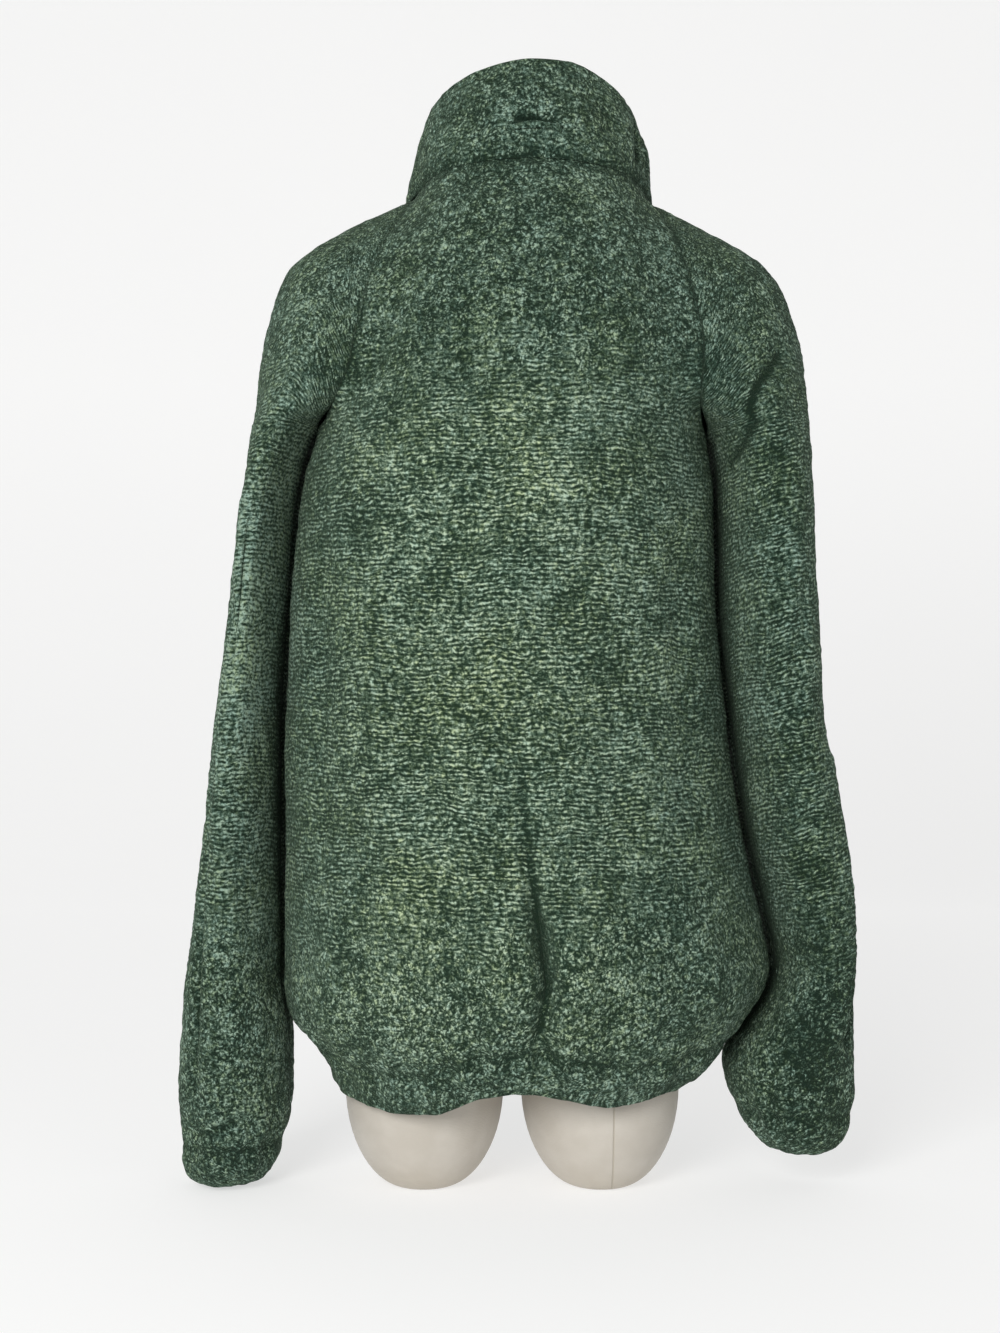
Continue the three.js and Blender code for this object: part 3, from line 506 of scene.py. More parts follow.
def blend_at(side, z):
    near_neck = ease(NECK_FADE["from"], NECK_FADE["to"], z)
    grown = ease(UNDERARM[side], UNDERARM[side] + ARMPIT_FADE, z)
    return BLEND * grown * mix(1, NECK_FADE["share"], near_neck)


def jacket_cut(z):
    return {
        "body": body_cut(z),
        "sleeves": {side: sleeve_cut(side, z) for side in SIDES},
        "blend": {side: np.maximum(blend_at(side, z), 1e-6) for side in SIDES},
        "joined": {side: z > UNDERARM[side] for side in SIDES},
    }


def jacket_field(cut, x, y):
    d = torso_field(cut["body"], x, y)
    for side in SIDES:
        k = cut["blend"][side]
        b = sleeve_field(side, cut["sleeves"][side], x, y)
        h = np.clip(0.5 + 0.5 * (b - d) / k, 0, 1)
        d = np.where(cut["joined"][side], mix(b, d, h) - k * h * (1 - h), d)
    return d


def leave(field, cut, cx, cy, dx, dy):
    """How far from the centre each ray leaves the section."""
    r = np.full(np.broadcast(cx, cy, dx, dy).shape, 2.0)
    step = np.zeros_like(r)
    for _ in range(300):
        d = field(cut, cx + dx * r, cy + dy * r)
        live = (r < 320) & (d < 0)
        if not live.any():
            break
        more = np.clip(-d / 2, 0.3, 12)
        step = np.where(live, more, step)
        r = np.where(live, r + more, r)
    return bisect(lambda q: field(cut, cx + dx * q, cy + dy * q) < 0, r - step, r, 18)


def slope_of(field, make_cut, p):
    x, y, z = p[..., 0], p[..., 1], p[..., 2]
    here, e = make_cut(z), 0.5
    up, down = make_cut(z + e), make_cut(z - e)
    g = [
        field(here, x + e, y) - field(here, x - e, y),
        field(here, x, y + e) - field(here, x, y - e),
        field(up, x, y) - field(down, x, y),
    ]
    return np.stack(g, -1) / (2 * e)


def unit(v):
    return v / np.linalg.norm(v, axis=-1, keepdims=True)


def body_point(angle, z):
    cut = jacket_cut(z)
    cx, cy = cut["body"][3], cut["body"][4]
    dx, dy = np.sin(np.radians(angle)), np.cos(np.radians(angle))
    r = leave(jacket_field, cut, cx, cy, dx, dy)
    return np.stack([cx + dx * r, cy + dy * r, z + 0 * r], -1)


def sleeve_point(side, angle, z, closed):
    cut = jacket_cut(z)
    own = cut["sleeves"][side]
    out = np.cos(np.radians(angle)) * own[2]
    front = np.sin(np.radians(angle)) * own[3]
    dx, dy = side * (out - own[4] * front), -front
    size = np.hypot(dx, dy)
    dx, dy = dx / size, dy / size
    if closed:
        r = leave(lambda c, x, y: sleeve_field(side, c, x, y), own, own[0], own[1], dx, dy)
    else:
        r = leave(jacket_field, cut, own[0], own[1], dx, dy)
    return np.stack([own[0] + dx * r, own[1] + dy * r, z + 0 * r], -1)


# The raglan seams


def seam_table(side, facing):
    """The body's angle at the seam, for heights from the underarm up."""
    t = np.linspace(0.02, 1, 220)
    z = UNDERARM[side] + (805 - UNDERARM[side]) * t * t
    start, end = side * (8 if facing > 0 else 172), side * 90

    def body_nearer(share):
        p = body_point(mix(start, end, share), z)
        own = torso_field(body_cut(z), p[:, 0], p[:, 1])
        return own < sleeve_field(side, sleeve_cut(side, z), p[:, 0], p[:, 1])

    share = bisect(body_nearer, np.zeros_like(z), np.ones_like(z), 22)
    angle = mix(start, end, share) - SEAM_STEP * side * facing
    return np.concatenate([[UNDERARM[side]], z]), np.concatenate([[end], angle])


SEAMS = {(side, facing): seam_table(side, facing) for side in SIDES for facing in SIDES}


def seam_angle(side, facing, z):
    return np.interp(z, *SEAMS[side, facing])


def seam_top(side, facing):
    return float(bisect(lambda z: z < NECK_AT(seam_angle(side, facing, z)), 740.0, 805.0))


def sleeve_angle(side, facing, p):
    cut = sleeve_cut(side, p[..., 2])
    out, front = sleeve_local(side, cut, p[..., 0], p[..., 1])
    angle = np.degrees(np.arctan2(front / cut[3], out / cut[2]))
    return np.where(angle * facing > 0, angle - 360 * facing, angle)


# Folds, gathers and pile


def fold_depth(folds, angle, z, radius):
    depth = 0
    for angle1, z1, angle2, z2, width, deep in folds:
        along_x, along_y = math.radians(angle2 - angle1) * radius, z2 - z1
        here_x, here_y = np.radians(angle - angle1) * radius, z - z1
        t = np.clip((here_x * along_x + here_y * along_y) / (along_x**2 + along_y**2), 0, 1)
        off = np.hypot(here_x - along_x * t, here_y - along_y * t)
        taper = 0.45 + 0.55 * np.sin(np.pi * np.clip(t, 0.08, 0.92))
        depth = depth + deep * taper * np.exp(-((off / width) ** 2))
    return depth


def gather_depth(gathers, angle, above):
    waves, depth, reach, stitch = gathers
    line = np.exp(-(((above - CASING) / STITCH_WIDTH) ** 2))
    fade = np.exp(-np.abs(above - CASING) / reach) * ease(-8, 14, above)
    uneven = 0.7 + 0.3 * np.sin(np.radians(angle * 5 + 40))
    wave = np.sin(np.radians(angle * waves) + 1.7 * np.sin(np.radians(angle * 3)))
    return stitch * line + depth * fade * uneven * wave


def row_warp(p):
    return 2.6 * noise(p, 60, 11) + 1.4 * noise(p, 19, 12)


def pile(p, across, along, order, calm):
    """How far the curls stand out of the drawn surface, in mm. calm is 0 where two pieces meet."""
    small = noise(np.stack([across / (1 + 0.5 * order), along, 0 * across], -1), 4.6, 21)
    clumps = 0.35 * noise(p, 8.5, 22) + 0.3 * noise(p, 17, 23) + 0.6 * noise(p, 38, 24)
    return PILE_FORWARD + 0.5 * small * calm + clumps


def order_at(p):
    """Where the curls lie in rows (1) and where they are brushed about (0)."""
    x, z = p[..., 0], p[..., 2]
    middle = ease(140, 270, z) * (1 - ease(530, 720, z))
    lower_right = ease(-20, -90, x) * ease(300, 200, z) * (np.abs(x) < 190)
    return np.clip(middle * (1 - 0.6 * lower_right) + 0.1 * noise(p, 45, 31), 0.05, 1)


def lengths(grid, axis):
    """Distances along the grid from its first row or column."""
    step = np.linalg.norm(np.diff(grid, axis=axis), axis=-1)
    pad = [(1, 0) if a == axis else (0, 0) for a in (0, 1)]
    return np.cumsum(np.pad(step, pad), axis=axis)


def cloth(base, own_normal, share, depth, thickness, across, along, calm, painted_shading):
    """Outer and inner points of one grid, with the pile on the outer ones."""
    whole = unit(slope_of(jacket_field, jacket_cut, base))
    normal = unit(mix(own_normal, whole, share[..., None]))
    order = order_at(base)
    along = along + row_warp(base)
    stand = pile(base, across, along, order, calm)
    ground = base - normal * (SKIN + depth)[..., None]
    outer = ground + normal * stand[..., None]
    inner = ground - normal * thickness
    return outer, inner, np.stack([across, along], -1) / 1000, {"order": order, "painted_shading": painted_shading}


# Meshes


def wall_object(name, outer, inner, uv, marks, rows, cols, closed=-1):
    """A closed shell: a fine outer grid, an inner one at the given rows and columns, and borders."""
    height, width = outer.shape[:2]
    grid = np.arange(height * width).reshape(height, width)
    outer_id = grid.copy()
    inner_id = grid + height * width
    if closed >= 0:
        outer_id[: closed + 1, -1] = outer_id[: closed + 1, 0]
        inner_id[: closed + 1, -1] = inner_id[: closed + 1, 0]
    faces, corners = [], []

    def quads(ids, r, c, turned):
        r0, c0 = np.ix_(r[:-1], c[:-1]), np.ix_(r[:-1], c[1:])
        r1, c1 = np.ix_(r[1:], c[:-1]), np.ix_(r[1:], c[1:])
        around = (r0, c0, c1, r1)
        if turned:
            around = around[::-1]
        faces.extend(np.stack([ids[k] for k in around], -1).reshape(-1, 4).tolist())
        corners.append(np.stack([grid[k] for k in around], -1).reshape(-1))

    def border(pairs, line_of, turned):
        for a, b in pairs:
            line = [line_of(k) for k in range(a, b + 1)]
            ids = [outer_id[k] for k in line] + [inner_id[line[-1]], inner_id[line[0]]]
            places = [grid[k] for k in line] + [grid[line[-1]], grid[line[0]]]
            if turned:
                ids, places = ids[::-1], places[::-1]
            faces.append([int(i) for i in ids])
            corners.append(np.array(places))

    every_r, every_c = np.arange(height), np.arange(width)
    quads(outer_id, every_r, every_c, False)
    quads(inner_id, np.array(rows), np.array(cols), True)
    col_pairs, row_pairs = list(zip(cols[:-1], cols[1:])), list(zip(rows[:-1], rows[1:]))
    open_pairs = [pair for pair in row_pairs if pair[0] >= closed]
    border(col_pairs, lambda k: (0, k), True)
    border(col_pairs, lambda k: (height - 1, k), False)
    border(open_pairs, lambda k: (k, 0), False)
    border(open_pairs, lambda k: (k, width - 1), True)
    points = np.concatenate([outer.reshape(-1, 3), inner.reshape(-1, 3)])
    quad = np.array([f for f in faces if len(f) == 4])
    a, b, c, d = (points[quad[:, k]] for k in range(4))
    volume = np.einsum("ij,ij->", a, np.cross(b, c)) + np.einsum("ij,ij->", a, np.cross(c, d))
    corner = np.concatenate(corners)
    if volume < 0:
        starts = np.cumsum([0] + [len(f) for f in faces])
        corner = np.concatenate([corner[s:e][::-1] for s, e in zip(starts[:-1], starts[1:])])
        faces = [f[::-1] for f in faces]
    used = np.unique(np.concatenate([np.array(f) for f in faces]))
    new_id = np.full(len(points), -1)
    new_id[used] = np.arange(len(used))
    faces = [[int(new_id[i]) for i in f] for f in faces]
    mesh = bpy.data.meshes.new(name)
    mesh.from_pydata(((points[used] + PLACE) / 1000).tolist(), [], faces)
    layer = mesh.uv_layers.new(name="Cloth")
    layer.data.foreach_set("uv", uv.reshape(-1, 2)[corner].reshape(-1).astype(np.float32))
    for mark, values in marks.items():
        both = np.concatenate([values.reshape(-1), values.reshape(-1)])[used]
        mesh.attributes.new(mark, "FLOAT", "POINT").data.foreach_set("value", both.astype(np.float32))
    mesh.shade_smooth()
    mesh.set_sharp_from_angle(angle=math.radians(62))
    mesh.validate()
    piece = bpy.data.objects.new(name, mesh)
    bpy.context.collection.objects.link(piece)
    return piece


def every(count, step, more=()):
    """Indices from 0 to count - 1, about that far apart."""
    even = np.round(np.linspace(0, count - 1, max(2, int(round((count - 1) / step)) + 1))).astype(int)
    return sorted(set(even.tolist()) | set(more))


def edge_rows(length, step=GRID_ALONG, first=(0, 0.35, 0.9, 1.7, 2.8)):
    """Places from 0 to length with finer ones at the start, as shares of the length."""
    rest = np.linspace(first[-1], length, int((length - first[-1]) / step) + 1)[1:]
    return np.concatenate([first, rest]) / length


def rounding(s, radius=EDGE_ROUND):
    """How far a turned edge falls back, s mm away from its end."""
    inside = np.clip(radius - s, 0, radius)
    return radius - np.sqrt(np.maximum(radius**2 - inside**2, 0))


def groove(s, size):
    return size[0] * np.exp(-((s / size[1]) ** 2))


# Body panels


def zip_x(z):
    t = np.clip((z - ZIP_LINE["hem_z"]) / (ZIP_LINE["neck_z"] - ZIP_LINE["hem_z"]), 0, 1)
    return mix(ZIP_LINE["hem_x"], ZIP_LINE["neck_x"], t)


def front_angle(side, z):
    aside = side * (zip_x(z) - BODY_AT[3](z)) + ZIP_OPENING / 2
    return side * (180 - np.degrees(np.arctan2(aside, BODY_AT[2](z))))


LOWER = edge_rows(LOWER_HEIGHT)
UPPER = np.linspace(0.01, 1, int(UPPER_HEIGHT / GRID_ALONG))


def seam_edge(side, facing):
    """Angles of the panel's edge for all its rows, with its underarm and its neck angle."""
    top = seam_top(side, facing)
    inset = SEAM_STEP * side * facing
    low = np.full(len(LOWER), float(seam_angle(side, facing, UNDERARM[side])))
    high = seam_angle(side, facing, mix(UNDERARM[side], top, UPPER))
    neck = float(seam_angle(side, facing, top))
    return np.concatenate([low, high]) - inset, UNDERARM[side], neck - inset


def front_edge(side):
    z_low = mix(float(HEM_AT(180)), UNDERARM[side], LOWER)
    z_high = mix(UNDERARM[side], float(NECK_AT(180)), UPPER)
    angles = front_angle(side, np.concatenate([z_low, z_high]))
    return angles, UNDERARM[side], float(front_angle(side, float(NECK_AT(180))))


def body_grid(first, last, count, side=None):
    """A body panel between two edges. side is given where the last edge is the front opening's."""
    u = np.linspace(0, 1, count)[None, :]
    angle = mix(first[0][:, None], last[0][:, None], u)
    underarm = mix(first[1], last[1], u)
    neck = NECK_AT(mix(first[2], last[2], u)) - SEAM_GAP / 2
    lower = np.arange(len(LOWER) + len(UPPER)) < len(LOWER)
    share = np.concatenate([LOWER, UPPER])[:, None]
    z = np.where(lower[:, None], mix(HEM_AT(angle), underarm, share), mix(underarm, neck, share))
    base = body_point(angle, z)
    own = unit(slope_of(torso_field, body_cut, base))
    nearer = np.where(angle > 0, 1, -1)
    blended = np.where(nearer > 0, blend_at(1, z), blend_at(-1, z)) / BLEND
    fade = np.where(lower[:, None], 1, 1 - ease(0, 0.25, share))
    above = z - HEM_AT(angle)
    depth = fold_depth(BODY_FOLDS, angle, z, BODY_RADIUS) * fade + gather_depth(HEM_GATHERS, angle, above)
    centre = int(np.abs(angle[0] if side is None else angle[0] - side * FRONT_MIDDLE).argmin())
    column = lengths(base, 0)[:, centre]
    along = np.interp(z, z[:, centre], column - column[len(LOWER) - 1] + UNDERARM[1])
    width = lengths(base, 1)
    zero = np.abs(angle if side is None else angle - side * 90).argmin(axis=1)
    start = 0 if side is None else side * FRONT_START
    across = width - np.take_along_axis(width, zero[:, None], 1) + start
    from_first, from_last = width, width[:, -1:] - width
    to_top = np.where(lower[:, None], 99, (1 - share) * (neck - underarm))
    depth = depth + groove(from_first, SEAM_GROOVE) + groove(to_top, NECK_GROOVE)
    depth = depth + rounding(np.where(lower[:, None], above, 99))
    # painted shade and painted light from the table, and painted shade in the seam, neck and casing grooves
    painted_shading = fold_depth(BODY_PAINTED_SHADING, angle, z, BODY_RADIUS) + groove(from_first, SEAM_PAINTED_SHADE)
    painted_shading = painted_shading + groove(to_top, NECK_PAINTED_SHADE) + groove(above - CASING, CASING_PAINTED_SHADE)
    calm = np.clip(from_first / 5, 0, 1) * np.clip(to_top / 5, 0, 1)
    if side is None:
        depth = depth + groove(from_last, SEAM_GROOVE)
        painted_shading = painted_shading + groove(from_last, SEAM_PAINTED_SHADE)
        calm = calm * np.clip(from_last / 5, 0, 1)
    else:
        depth = depth + rounding(from_last)
        calm = calm * np.clip(from_last / 6, 0, 1)
    return cloth(base, own, ease(0.02, 0.6, blended), depth, CLOTH, across, along, calm, painted_shading)


def body_panel(name, first, last, count, side=None):
    outer, inner, uv, marks = body_grid(first, last, count, side)
    rows = every(outer.shape[0], 8, (2, len(LOWER) - 1))
    cols = every(count, 5)
    return wall_object(name, outer, inner, uv, marks, rows, cols), inner


def sleeve_piece(name, side):
    cuff = SLEEVE_LINES[side][0][0]
    count = int(SLEEVE_GIRTH / GRID_ACROSS)
    u = np.linspace(0, 1, count)[None, :]
    tops = {facing: seam_top(side, facing) for facing in SIDES}
    neck_angles = {facing: float(seam_angle(side, facing, tops[facing])) for facing in SIDES}

    def ends_at(share):
        found = []
        for facing in SIDES:
            z = mix(UNDERARM[side], tops[facing], share)
            seam = body_point(seam_angle(side, facing, z), z)
            found.append(sleeve_angle(side, facing, seam) + 3 * SEAM_STEP * facing)
        return found

    low_share = edge_rows(UNDERARM[side] - cuff)[:, None]
    z_low = mix(cuff, UNDERARM[side], low_share) + 0 * u
    first_ends = ends_at(UPPER[:1])
    gathered = 0.7 * ease(0.8, 1, low_share)
    even = mix(-180, 180, u)
    angle_low = mix(even, mix(first_ends[0][0], first_ends[1][0], u), gathered)
    angle_low[:, 0], angle_low[:, -1] = -180, 180
    base_low = sleeve_point(side, angle_low, z_low, True)
    fold_low = 1 - ease(0.93, 1, low_share) + 0 * u
    share = UPPER[:, None]
    ends = ends_at(UPPER)
    neck_angle = mix(neck_angles[1], neck_angles[-1], u)
    z_high = mix(UNDERARM[side], NECK_AT(neck_angle) - SEAM_GAP / 2, share)
    angle_high = mix(ends[0][:, None], ends[1][:, None], u)
    ray = sleeve_point(side, angle_high, z_high, False)
    seam_ends = [seam_angle(side, facing, mix(UNDERARM[side], tops[facing], UPPER)) for facing in SIDES]
    at_neck = body_point(mix(seam_ends[0][:, None], seam_ends[1][:, None], u), z_high)
    base_high = mix(ray, at_neck, ease(0.86, 1, share)[..., None])
    fold_high = (1 - ease(0.25, 0.6, share)) * np.sin(np.pi * u)
    base = np.concatenate([base_low, base_high])
    angle = np.concatenate([angle_low, angle_high])
    z = base[..., 2]
    folds = LEFT_FOLDS if side > 0 else RIGHT_FOLDS
    depth = fold_depth(folds, angle, z, SLEEVE_RADIUS) * np.concatenate([fold_low, fold_high])
    depth = depth + gather_depth(CUFF_GATHERS, angle, z - cuff)
    own = unit(slope_of(lambda c, x, y: sleeve_field(side, c, x, y), lambda h: sleeve_cut(side, h), base))
    closed = len(low_share) - 1
    along = lengths(base, 0)
    along = along - along[closed][None, :] + UNDERARM[side]
    along = along - ROW_TILT[side] * side * (base[..., 0] - side * SLEEVE_MIDDLE)
    width = lengths(base, 1)
    across = width - width[:, count // 2][:, None] + side * SLEEVE_START
    upper = (np.arange(len(base)) > closed)[:, None]
    from_first, from_last = width, width[:, -1:] - width
    to_top = np.concatenate([np.full(z_low.shape, 99.0), (1 - share) * (z_high[-1:] - UNDERARM[side])])
    sides = groove(from_first, SEAM_GROOVE) + groove(from_last, SEAM_GROOVE)
    seams = groove(from_first, SEAM_PAINTED_SHADE) + groove(from_last, SEAM_PAINTED_SHADE)
    # painted shade and painted light from the table, and painted shade in the seam, neck and cuff casing
    # grooves
    painted_shading = fold_depth(LEFT_PAINTED_SHADING if side > 0 else RIGHT_PAINTED_SHADING, angle, z, SLEEVE_RADIUS) + seams
    painted_shading = painted_shading + groove(to_top, NECK_PAINTED_SHADE) + groove(z - cuff - CASING, CASING_PAINTED_SHADE)
    depth = depth + np.where(upper, sides, 0.6 * sides) + groove(to_top, NECK_GROOVE) + rounding(z - cuff)
    calm = np.clip(from_first / 5, 0, 1) * np.clip(from_last / 5, 0, 1) * np.clip(to_top / 5, 0, 1)
    share_own = ease(0.02, 0.6, blend_at(side, z) / BLEND)
    outer, inner, uv, marks = cloth(base, own, share_own, depth, CLOTH, across, along, calm, painted_shading)
    rows = every(len(base), 8, (2, closed))
    return wall_object(name, outer, inner, uv, marks, rows, every(count, 5), closed)


def collar_frame(angle, t, folds=True):
    foot = body_point(angle, NECK_AT(angle) + SEAM_GAP / 2)
    out = np.stack([np.sin(np.radians(angle)), np.cos(np.radians(angle)), 0 * angle], -1)
    size = 1 / np.hypot(out[..., 0] / RIM_RING["half_width"], out[..., 1] / RIM_RING["half_depth"])
    rim = np.stack(
        [RIM_RING["x"] + out[..., 0] * size, RIM_RING["y"] + out[..., 1] * size, RIM_AT(angle)], -1
    )
    place = mix(foot, rim, t[..., None]) + out * (COLLAR_BULGE * np.sin(np.pi * t))[..., None]
    depth = fold_depth(COLLAR_FOLDS, angle, place[..., 2], RIM_RING["half_width"])
    depth = depth * np.sin(np.pi * np.clip(t, 0.04, 0.96))
    return place - out * (SKIN + depth)[..., None], out


def collar_piece(name):
    half = math.degrees(ZIP_OPENING / 2 / RIM_RING["half_depth"])
    count = 233
    height = COLLAR_HEIGHT
    from_rim = edge_rows(height, 1.1) * height
    t = (1 - from_rim[::-1] / height)[:, None] + np.zeros((1, count))
    angle = np.linspace(-180 + half, 180 - half, count)[None, :] + 0 * t
    place, out = collar_frame(angle, t)
    width = lengths(place, 1)
    across = width - width[:, count // 2][:, None]
    along = t * height + 30
    ends = np.minimum(width, width[:, -1:] - width)
    to_rim = (1 - t) * height
    fall = rounding(to_rim) + rounding(ends) + groove(t * height, NECK_GROOVE)
    order = 0.25 + 0.1 * noise(place, 30, 41)
    calm = np.clip(t * height / 5, 0, 1) * np.clip(ends / 6, 0, 1)
    along = along + row_warp(place)
    stand = pile(place, across, along, order, calm)
    outer = place + out * (stand - fall)[..., None]
    # the inner face is rolled over the rim too
    inner = place - out * (COLLAR_CLOTH - rounding(to_rim) - 0.5 * rounding(ends))[..., None]
    uv = np.stack([across, along], -1) / 1000
    # painted shade above the hanger loop, in a crease and in the neck seam's groove
    painted_shading = fold_depth(COLLAR_PAINTED_SHADING, angle, place[..., 2], RIM_RING["half_width"])
    painted_shading = painted_shading + groove(t * height, NECK_PAINTED_SHADE)
    marks = {"order": order, "painted_shading": painted_shading}
    rows = every(len(from_rim), 2, (len(from_rim) - 2, len(from_rim) - 3))
    return wall_object(name, outer, inner, uv, marks, rows, every(count, 2)), inner


CLOTH_OBJECTS = {}
edges = {(side, facing): seam_edge(side, facing) for side in SIDES for facing in SIDES}
back_width = int(BACK_GIRTH / GRID_ACROSS)
CLOTH_OBJECTS["back_panel"], _ = body_panel("back_cloth", edges[-1, 1], edges[1, 1], back_width)
inners = {}
for side, word in ((1, "left"), (-1, "right")):
    piece, inner = body_panel(f"front_{word}_cloth", edges[side, -1], front_edge(side), back_width // 2, side)
    CLOTH_OBJECTS[f"front_{word}"] = piece
    inners[side] = inner
    CLOTH_OBJECTS[f"sleeve_{word}"] = sleeve_piece(f"sleeve_{word}_cloth", side)
CLOTH_OBJECTS["collar"], collar_inner = collar_piece("collar_cloth")


# The torso form


def form_field(z):
    reach = ease(FORM_SHOULDER["from"], FORM_SHOULDER["to"], z)
    gap = SKIN + CLOTH + mix(FORM_SHOULDER["gap_below"], FORM_GAP, reach)
    cuts = {
        "form": torso_cut(FORM_AT, z),
        "here": jacket_cut(z),
        "up": jacket_cut(z + 0.5),
        "down": jacket_cut(z - 0.5),
    }

    def field(cut, x, y):
        jacket = jacket_field(cut["here"], x, y)
        gx = jacket_field(cut["here"], x + 0.5, y) - jacket_field(cut["here"], x - 0.5, y)
        gy = jacket_field(cut["here"], x, y + 0.5) - jacket_field(cut["here"], x, y - 0.5)
        gz = jacket_field(cut["up"], x, y) - jacket_field(cut["down"], x, y)
        slope = mix(1, np.maximum(np.sqrt(gx**2 + gy**2 + gz**2), 1), reach)
        own = mix(torso_field(cut["here"]["body"], x, y), jacket, reach) / slope
        return np.maximum(torso_field(cut["form"], x, y), own + gap)

    return cuts, field


def closed_loft(rings, points, faces):
    """Adds rings of points, closed at both ends, to the lists of a mesh."""
    start = len(points)
    count = len(rings[0])
    for one in rings:
        points.extend(one.tolist())
    for i in range(len(rings) - 1):
        for j in range(count):
            k = (j + 1) % count
            a = start + i * count
            faces.append((a + j, a + k, a + count + k, a + count + j))
    faces.append(tuple(start + j for j in range(count))[::-1])
    faces.append(tuple(start + (len(rings) - 1) * count + j for j in range(count)))


def mesh_object(name, points, faces, smooth=True):
    mesh = bpy.data.meshes.new(name)
    mesh.from_pydata(((np.array(points) + PLACE) / 1000).tolist(), [], faces)
    if smooth:
        mesh.shade_smooth()
    mesh.validate()
    piece = bpy.data.objects.new(name, mesh)
    bpy.context.collection.objects.link(piece)
    return piece


def form_piece(name):
    points, faces = [], []
    turn = np.radians(np.linspace(0, 360, 72, endpoint=False))[::-1]
    z = FORM_LEVELS[:, None] + 0 * turn[None, :]
    cuts, field = form_field(z)
    cx, cy = cuts["form"][3], cuts["form"][4]
    dx, dy = np.sin(turn)[None, :] + 0 * z, np.cos(turn)[None, :] + 0 * z
    r = leave(field, cuts, cx, cy, dx, dy)
    rings = list(np.stack([cx + dx * r, cy + dy * r, z], -1))
    top = rings[-1]
    middle = top.mean(axis=0)
    for size, rise in FORM_CAP:
        rings.append((top - middle) * size + middle + [0, 0, rise])
    closed_loft(rings, points, faces)
    share = np.array(THIGH_LEVELS)
    for x, half_width in THIGHS.values():
        rounds = np.append((1 - (1 - share) ** 2) ** 0.6, 1)
        levels = np.append(share * THIGH_ROUNDING, THIGH_TOP)
        lofted = []
        for round_, level in zip(rounds, levels):
            wide = half_width * mix(THIGH_FOOT[0], 1, round_)
            deep = THIGH_DEPTH * mix(THIGH_FOOT[1], 1, round_)
            ring_points = [x + wide * np.sin(turn), THIGH_Y + deep * np.cos(turn), level + 0 * turn]
            lofted.append(np.stack(ring_points, -1))
        closed_loft(lofted, points, faces)
    return mesh_object(name, points, faces)


form_cover = form_piece("form_cover")


# The zip


def opening_lines(side):
    """Inner points at the opening's edge and 10 mm beside it, from hem to rim."""
    grid = inners[side]
    near = 5
    panel = grid[:: int(4 / GRID_ALONG)][:-1]
    column = -1 if side > 0 else 0
    beside = column - near if side > 0 else column + near
    neck = collar_inner[2::3]
    edge = np.concatenate([panel[:, -1], neck[:, column]])
    next_ = np.concatenate([panel[:, -1 - near], neck[:, beside]])
    return edge, next_


def smooth_line(line, times=3):
    for _ in range(times):
        line = line.copy()
        line[1:-1] = (line[:-2] + 2 * line[1:-1] + line[2:]) / 4
    return line


def tape_sides(side):
    edge, beside = (smooth_line(line) for line in opening_lines(side))
    top = float(RIM_AT(180)) - TAPE_TOP
    keep = edge[:, 2] < top
    edge, beside = edge[keep], beside[keep]
    across = unit(beside - edge)
    along = np.gradient(edge, axis=0)
    inward = unit(np.cross(along, across)) * side
    inward = inward * np.sign(inward[:, 1:2])
    slider_top = top - SLIDER_DROP
    parting = SLIDER_PARTING * ease(slider_top - SLIDER_LENGTH, slider_top, edge[:, 2])
    to_middle = np.abs(edge[:, 0] - zip_x(edge[:, 2]))
    offsets = [TAPE_PART + parting - to_middle, 0 * to_middle, TAPE_WIDTH - to_middle]
    face = [edge + across * o[:, None] + inward * TAPE_LIFT for o in offsets]
    return np.stack(face, 1), inward, across


def tape_piece(name, side):
    face, inward, _ = tape_sides(side)
    back = face + inward[:, None, :] * TAPE_THICKNESS
    width = lengths(face, 1)
    uv = np.stack([width, lengths(face, 0)], -1) / 1000
    rows, cols = list(range(len(face))), [0, 1, 2]
    return wall_object(name, face, back, uv, {}, rows, cols), face, inward


def teeth_piece(name, side, face, inward, across):
    """Moulded teeth along a tape's inner edge: blocks with a narrower neck, between those of the other tape."""
    line = face[:, 0] + inward * TAPE_THICKNESS / 2
    run = np.concatenate([[0], np.cumsum(np.linalg.norm(np.diff(line, axis=0), axis=1))])
    at = np.arange(4 + (0 if side > 0 else TOOTH_PITCH / 2), run[-1] - 5, TOOTH_PITCH)
    spots = np.stack([np.interp(at, run, line[:, k]) for k in range(3)], -1)
    up = unit(np.gradient(spots, axis=0))
    side_way = np.stack([np.interp(at, run, -across[:, k]) for k in range(3)], -1)
    side_way = unit(side_way - up * (side_way * up).sum(-1, keepdims=True))
    out = np.cross(up, side_way)
    points, faces = [], []
    for c, w, u, o in zip(spots, side_way, up, out):
        rings = []
        for level, size in TOOTH_RINGS:
            middle = o * (TOOTH_HALF * level)
            rings.append(np.array([c + w * a * size + u * b * size + middle for a, b in TOOTH_OUTLINE]))
        closed_loft(rings, points, faces)
    return mesh_object(name, points, faces, smooth=False)


tapes, teeth = {}, {}
for side, word in ((1, "left"), (-1, "right")):
    _, _, across = tape_sides(side)
    tapes[word], face, inward = tape_piece(f"tape_{word}_weave", side)
    teeth[word] = teeth_piece(f"zip_teeth_{word}", side, face, inward, across)


# The hanger loop: a narrow tube of folded tape that stands out from the collar


